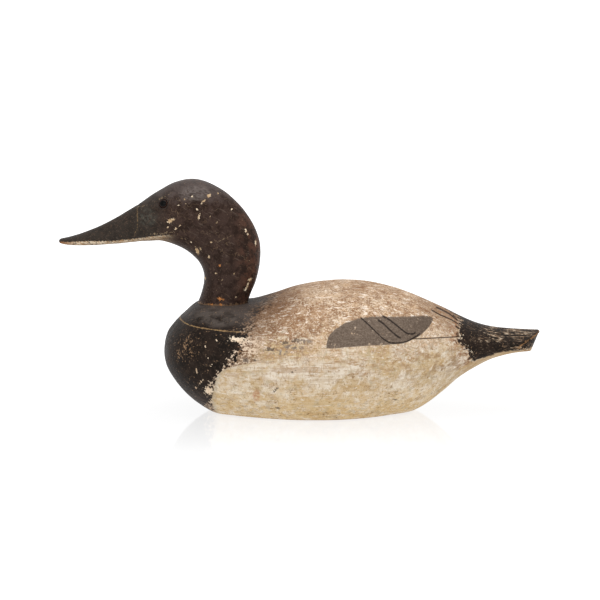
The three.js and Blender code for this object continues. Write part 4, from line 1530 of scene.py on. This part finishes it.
def lead():
    p = Paint("dull_lead")
    patch = p.noise(8, 4, 0.6)
    fine = p.noise(0.9, 4, 0.65)
    scrapes = p.noise(1.0, 3, 0.6, p.stretch(9, (0, 0, 0.3)))
    tone = p.mix(p.smooth(0.35, 0.65, patch), (104, 106, 110), (146, 147, 148))
    tone = p.laid(tone, p.smooth(0.56, 0.68, fine), 0.5, (196, 194, 186))
    tone = p.laid(tone, p.smooth(0.58, 0.66, scrapes), 0.5, (168, 170, 174))
    rough = p.ramp(patch, 0.3, 0.42)
    height = fine * 0.12 + scrapes * 0.12
    return p.finish(tone, rough, p.bump(height), Metallic=0.7)


def rusty_iron(name):
    p = Paint(name)
    patch = p.noise(1.8, 4, 0.65)
    fine = p.noise(0.5, 3)
    rust = p.smooth(0.42, 0.56, patch)
    tone = p.mix(fine, (88, 84, 82), (118, 112, 108))
    tone = p.mix(rust, tone, p.mix(fine, (84, 46, 26), (132, 76, 42)))
    return p.finish(tone, p.ramp(rust, 0.4, 0.42), p.bump(fine * 0.1), Metallic=0.45)


def aged_brass():
    p = Paint("aged_brass")
    patch = p.noise(2.4, 4, 0.6)
    fine = p.noise(0.6, 3)
    dull = p.smooth(0.42, 0.6, patch)
    tone = p.mix(dull, (178, 142, 78), (104, 82, 46))
    tone = p.mix(p.smooth(0.6, 0.68, p.noise(1.3, 3)), tone, (96, 122, 96))
    return p.finish(tone, p.ramp(dull, 0.3, 0.3), p.bump(fine * 0.06), Metallic=0.85)


def peg_wood():
    p = Paint("peg_wood")
    grain = p.noise(0.9, 4, 0.6, p.stretch(12, (0, PI / 2, 0)))
    broad = p.noise(6, 2)
    tone = p.mix(p.smooth(0.35, 0.65, grain), (150, 108, 66), (196, 154, 104))
    tone = p.laid(tone, p.smooth(0.5, 0.7, broad), 0.4, (124, 84, 50))
    return p.finish(tone, p.ramp(grain, 0.2, 0.6), p.bump(grain * 0.2))


# ------------------------------------------------------------------ dressing the pieces


def wear_body(piece):
    """The fields that the body's paint reads: its marks, and how near the rim of the tail is."""
    places = places_of(piece)
    field(piece, "chip", both_sides(places, BODY_CHIPS, 31, 8))
    field(piece, "bare", both_sides(places, BODY_BARE, 32, 7))
    field(piece, "stain", both_sides(places, BODY_STAINS, 33, 12))
    half_thick = 9  # of the tail, near enough
    with np.errstate(all="ignore"):
        level, n = body_level(places)
        depth = np.clip(1 - level ** (1 / n), 0, 1) * half_thick
    ahead = np.abs(tail_end(places[:, 1], places[:, 2]) - places[:, 0])
    near_rim = np.exp(-((ahead / 1.1) ** 2) - (depth / 0.9) ** 2)
    field(piece, "rim", np.where(places[:, 0] > 180, near_rim, 0))


def wear_head(piece):
    places = places_of(piece)
    field(piece, "chip", head_knocks(places))
    field(piece, "bare", both_sides(places, HEAD_BARE, 6, 6))
    field(piece, "scratch", both_sides(places, HEAD_SCRATCHES, 7, 6))


def dress(piece, body, slot, material, *nodes):
    """Gives a piece its finish, the body it rides on and the CAD nodes it stands for."""
    piece.data.materials.clear()
    piece.data.materials.append(material)
    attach(piece, body)
    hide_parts(*nodes)


def repaint(node, material):
    """Puts a finish on a CAD node that stays."""
    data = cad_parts[node].data
    if not data.materials:
        data.materials.append(material)
    for k in range(len(data.materials)):
        data.materials[k] = material


def build_body():
    finish = body_paint()
    upper, lower = upper_body(), lower_body()
    wear_body(upper)
    wear_body(lower)
    dress(upper, "decoy", "back_paint", finish, "upper_body_shell")
    dress(lower, "decoy", "side_paint", finish, "lower_body_shell")
    dress(seam_bedding(), "decoy", "seam_putty", putty_paint(), "seam_putty")


def build_head():
    finish, bed_finish, glass = head_paint(), eye_bed_paint(), eye_glass()
    head, surface = carved_head()
    wear_head(head)
    dress(head, "decoy", "head_paint", finish, "head")
    for side, name in ((-1, "left"), (1, "right")):
        eye = glass_eye(f"glass_{name}_eye", side)
        bed = eye_bed(f"{name}_eye_bed", side, surface)
        dress(eye, "decoy", "eye_glass", glass, f"{name}_eye")
        dress(bed, "decoy", "eye_putty", bed_finish, f"{name}_eye_putty")


def build_underside():
    dress(ballast_piece(), "decoy", "lead", lead(), "ballast_plate")
    iron, brass = rusty_iron("screw_iron"), aged_brass()
    for node in SCREW_TURNS:
        dress(slotted_screw(node), "decoy", "screw_steel", iron, node)
    dress(staple_piece(), "decoy", "brass", brass, "line_staple")
    dress(ring_piece(), "line_ring", "brass", brass, "line_ring")


def build_hidden():
    """The CAD solids that stay: nails, eye wires and the dowel."""
    iron = rusty_iron("nail_iron")
    for node in [*nail_names(), "left_eye_wire", "right_eye_wire"]:
        repaint(node, iron)
    repaint("neck_dowel", peg_wood())


# ------------------------------------------------------------------ studio


def studio_floor():
    """A pale floor that shines on its own, brighter further off, with a faint mirror image in it."""
    mesh = bpy.data.meshes.new("studio_floor")
    reach = 30.0
    corners = [(-reach, -reach, 0), (reach, -reach, 0), (reach, reach, 0), (-reach, reach, 0)]
    mesh.from_pydata(corners, [], [(0, 1, 2, 3)])
    floor = placed("studio_floor", mesh)
    p = Paint("studio_floor")
    tone = p.mix(p.noise(900, 2), (96, 96, 96), (100, 100, 100))
    glow = p.ramp(p.smooth(60, 290, abs(p.y)), 0.27, 0.75)
    shine = {"IOR": 1.2, "Emission_Color": glow, "Emission_Strength": 1.0}
    mesh.materials.append(p.finish(tone, 0.07, p.bump(0.0), **shine))


def soft_light(name, place, aim, size, power):
    data = bpy.data.lights.new(name, "AREA")
    data.shape = "RECTANGLE"
    data.size, data.size_y = size
    data.energy = power
    light = placed(name, data)
    light.location = place
    light.rotation_euler = (Vector(aim) - Vector(place)).to_track_quat("-Z", "Y").to_euler()


def studio():
    world = bpy.data.worlds.new("studio")
    world.use_nodes = True
    world.node_tree.nodes["Background"].inputs["Color"].default_value = (1, 1, 1, 1)
    world.node_tree.nodes["Background"].inputs["Strength"].default_value = 0.75
    bpy.context.scene.world = world
    bpy.context.scene.view_settings.view_transform = "Standard"
    soft_light("overhead", place=(0.1, -0.1, 1.6), aim=(0, 0, 0.1), size=(1.6, 1.2), power=11)
    soft_light("spark", place=(0.55, -1.3, 1.25), aim=(-0.12, 0, 0.19), size=(0.13, 0.13), power=1.6)
    soft_light("front", place=(-0.5, -1.9, 1.1), aim=(0, 0, 0.08), size=(1.4, 1.0), power=4)


def camera():
    """Looks down at the decoy's left side from two metres, a little above level."""
    rise = math.radians(8.7)
    distance = 2.0
    target = Vector((0, 0, 0.1003))
    data = bpy.data.cameras.new("camera")
    data.lens = 133.33
    data.sensor_width = 36
    view = placed("camera", data)
    view.location = target + distance * Vector((0, -math.cos(rise), math.sin(rise)))
    view.rotation_euler = (PI / 2 - rise, 0, 0)
    bpy.context.scene.camera = view


build_body()
build_head()
build_underside()
build_hidden()
studio_floor()
studio()
camera()
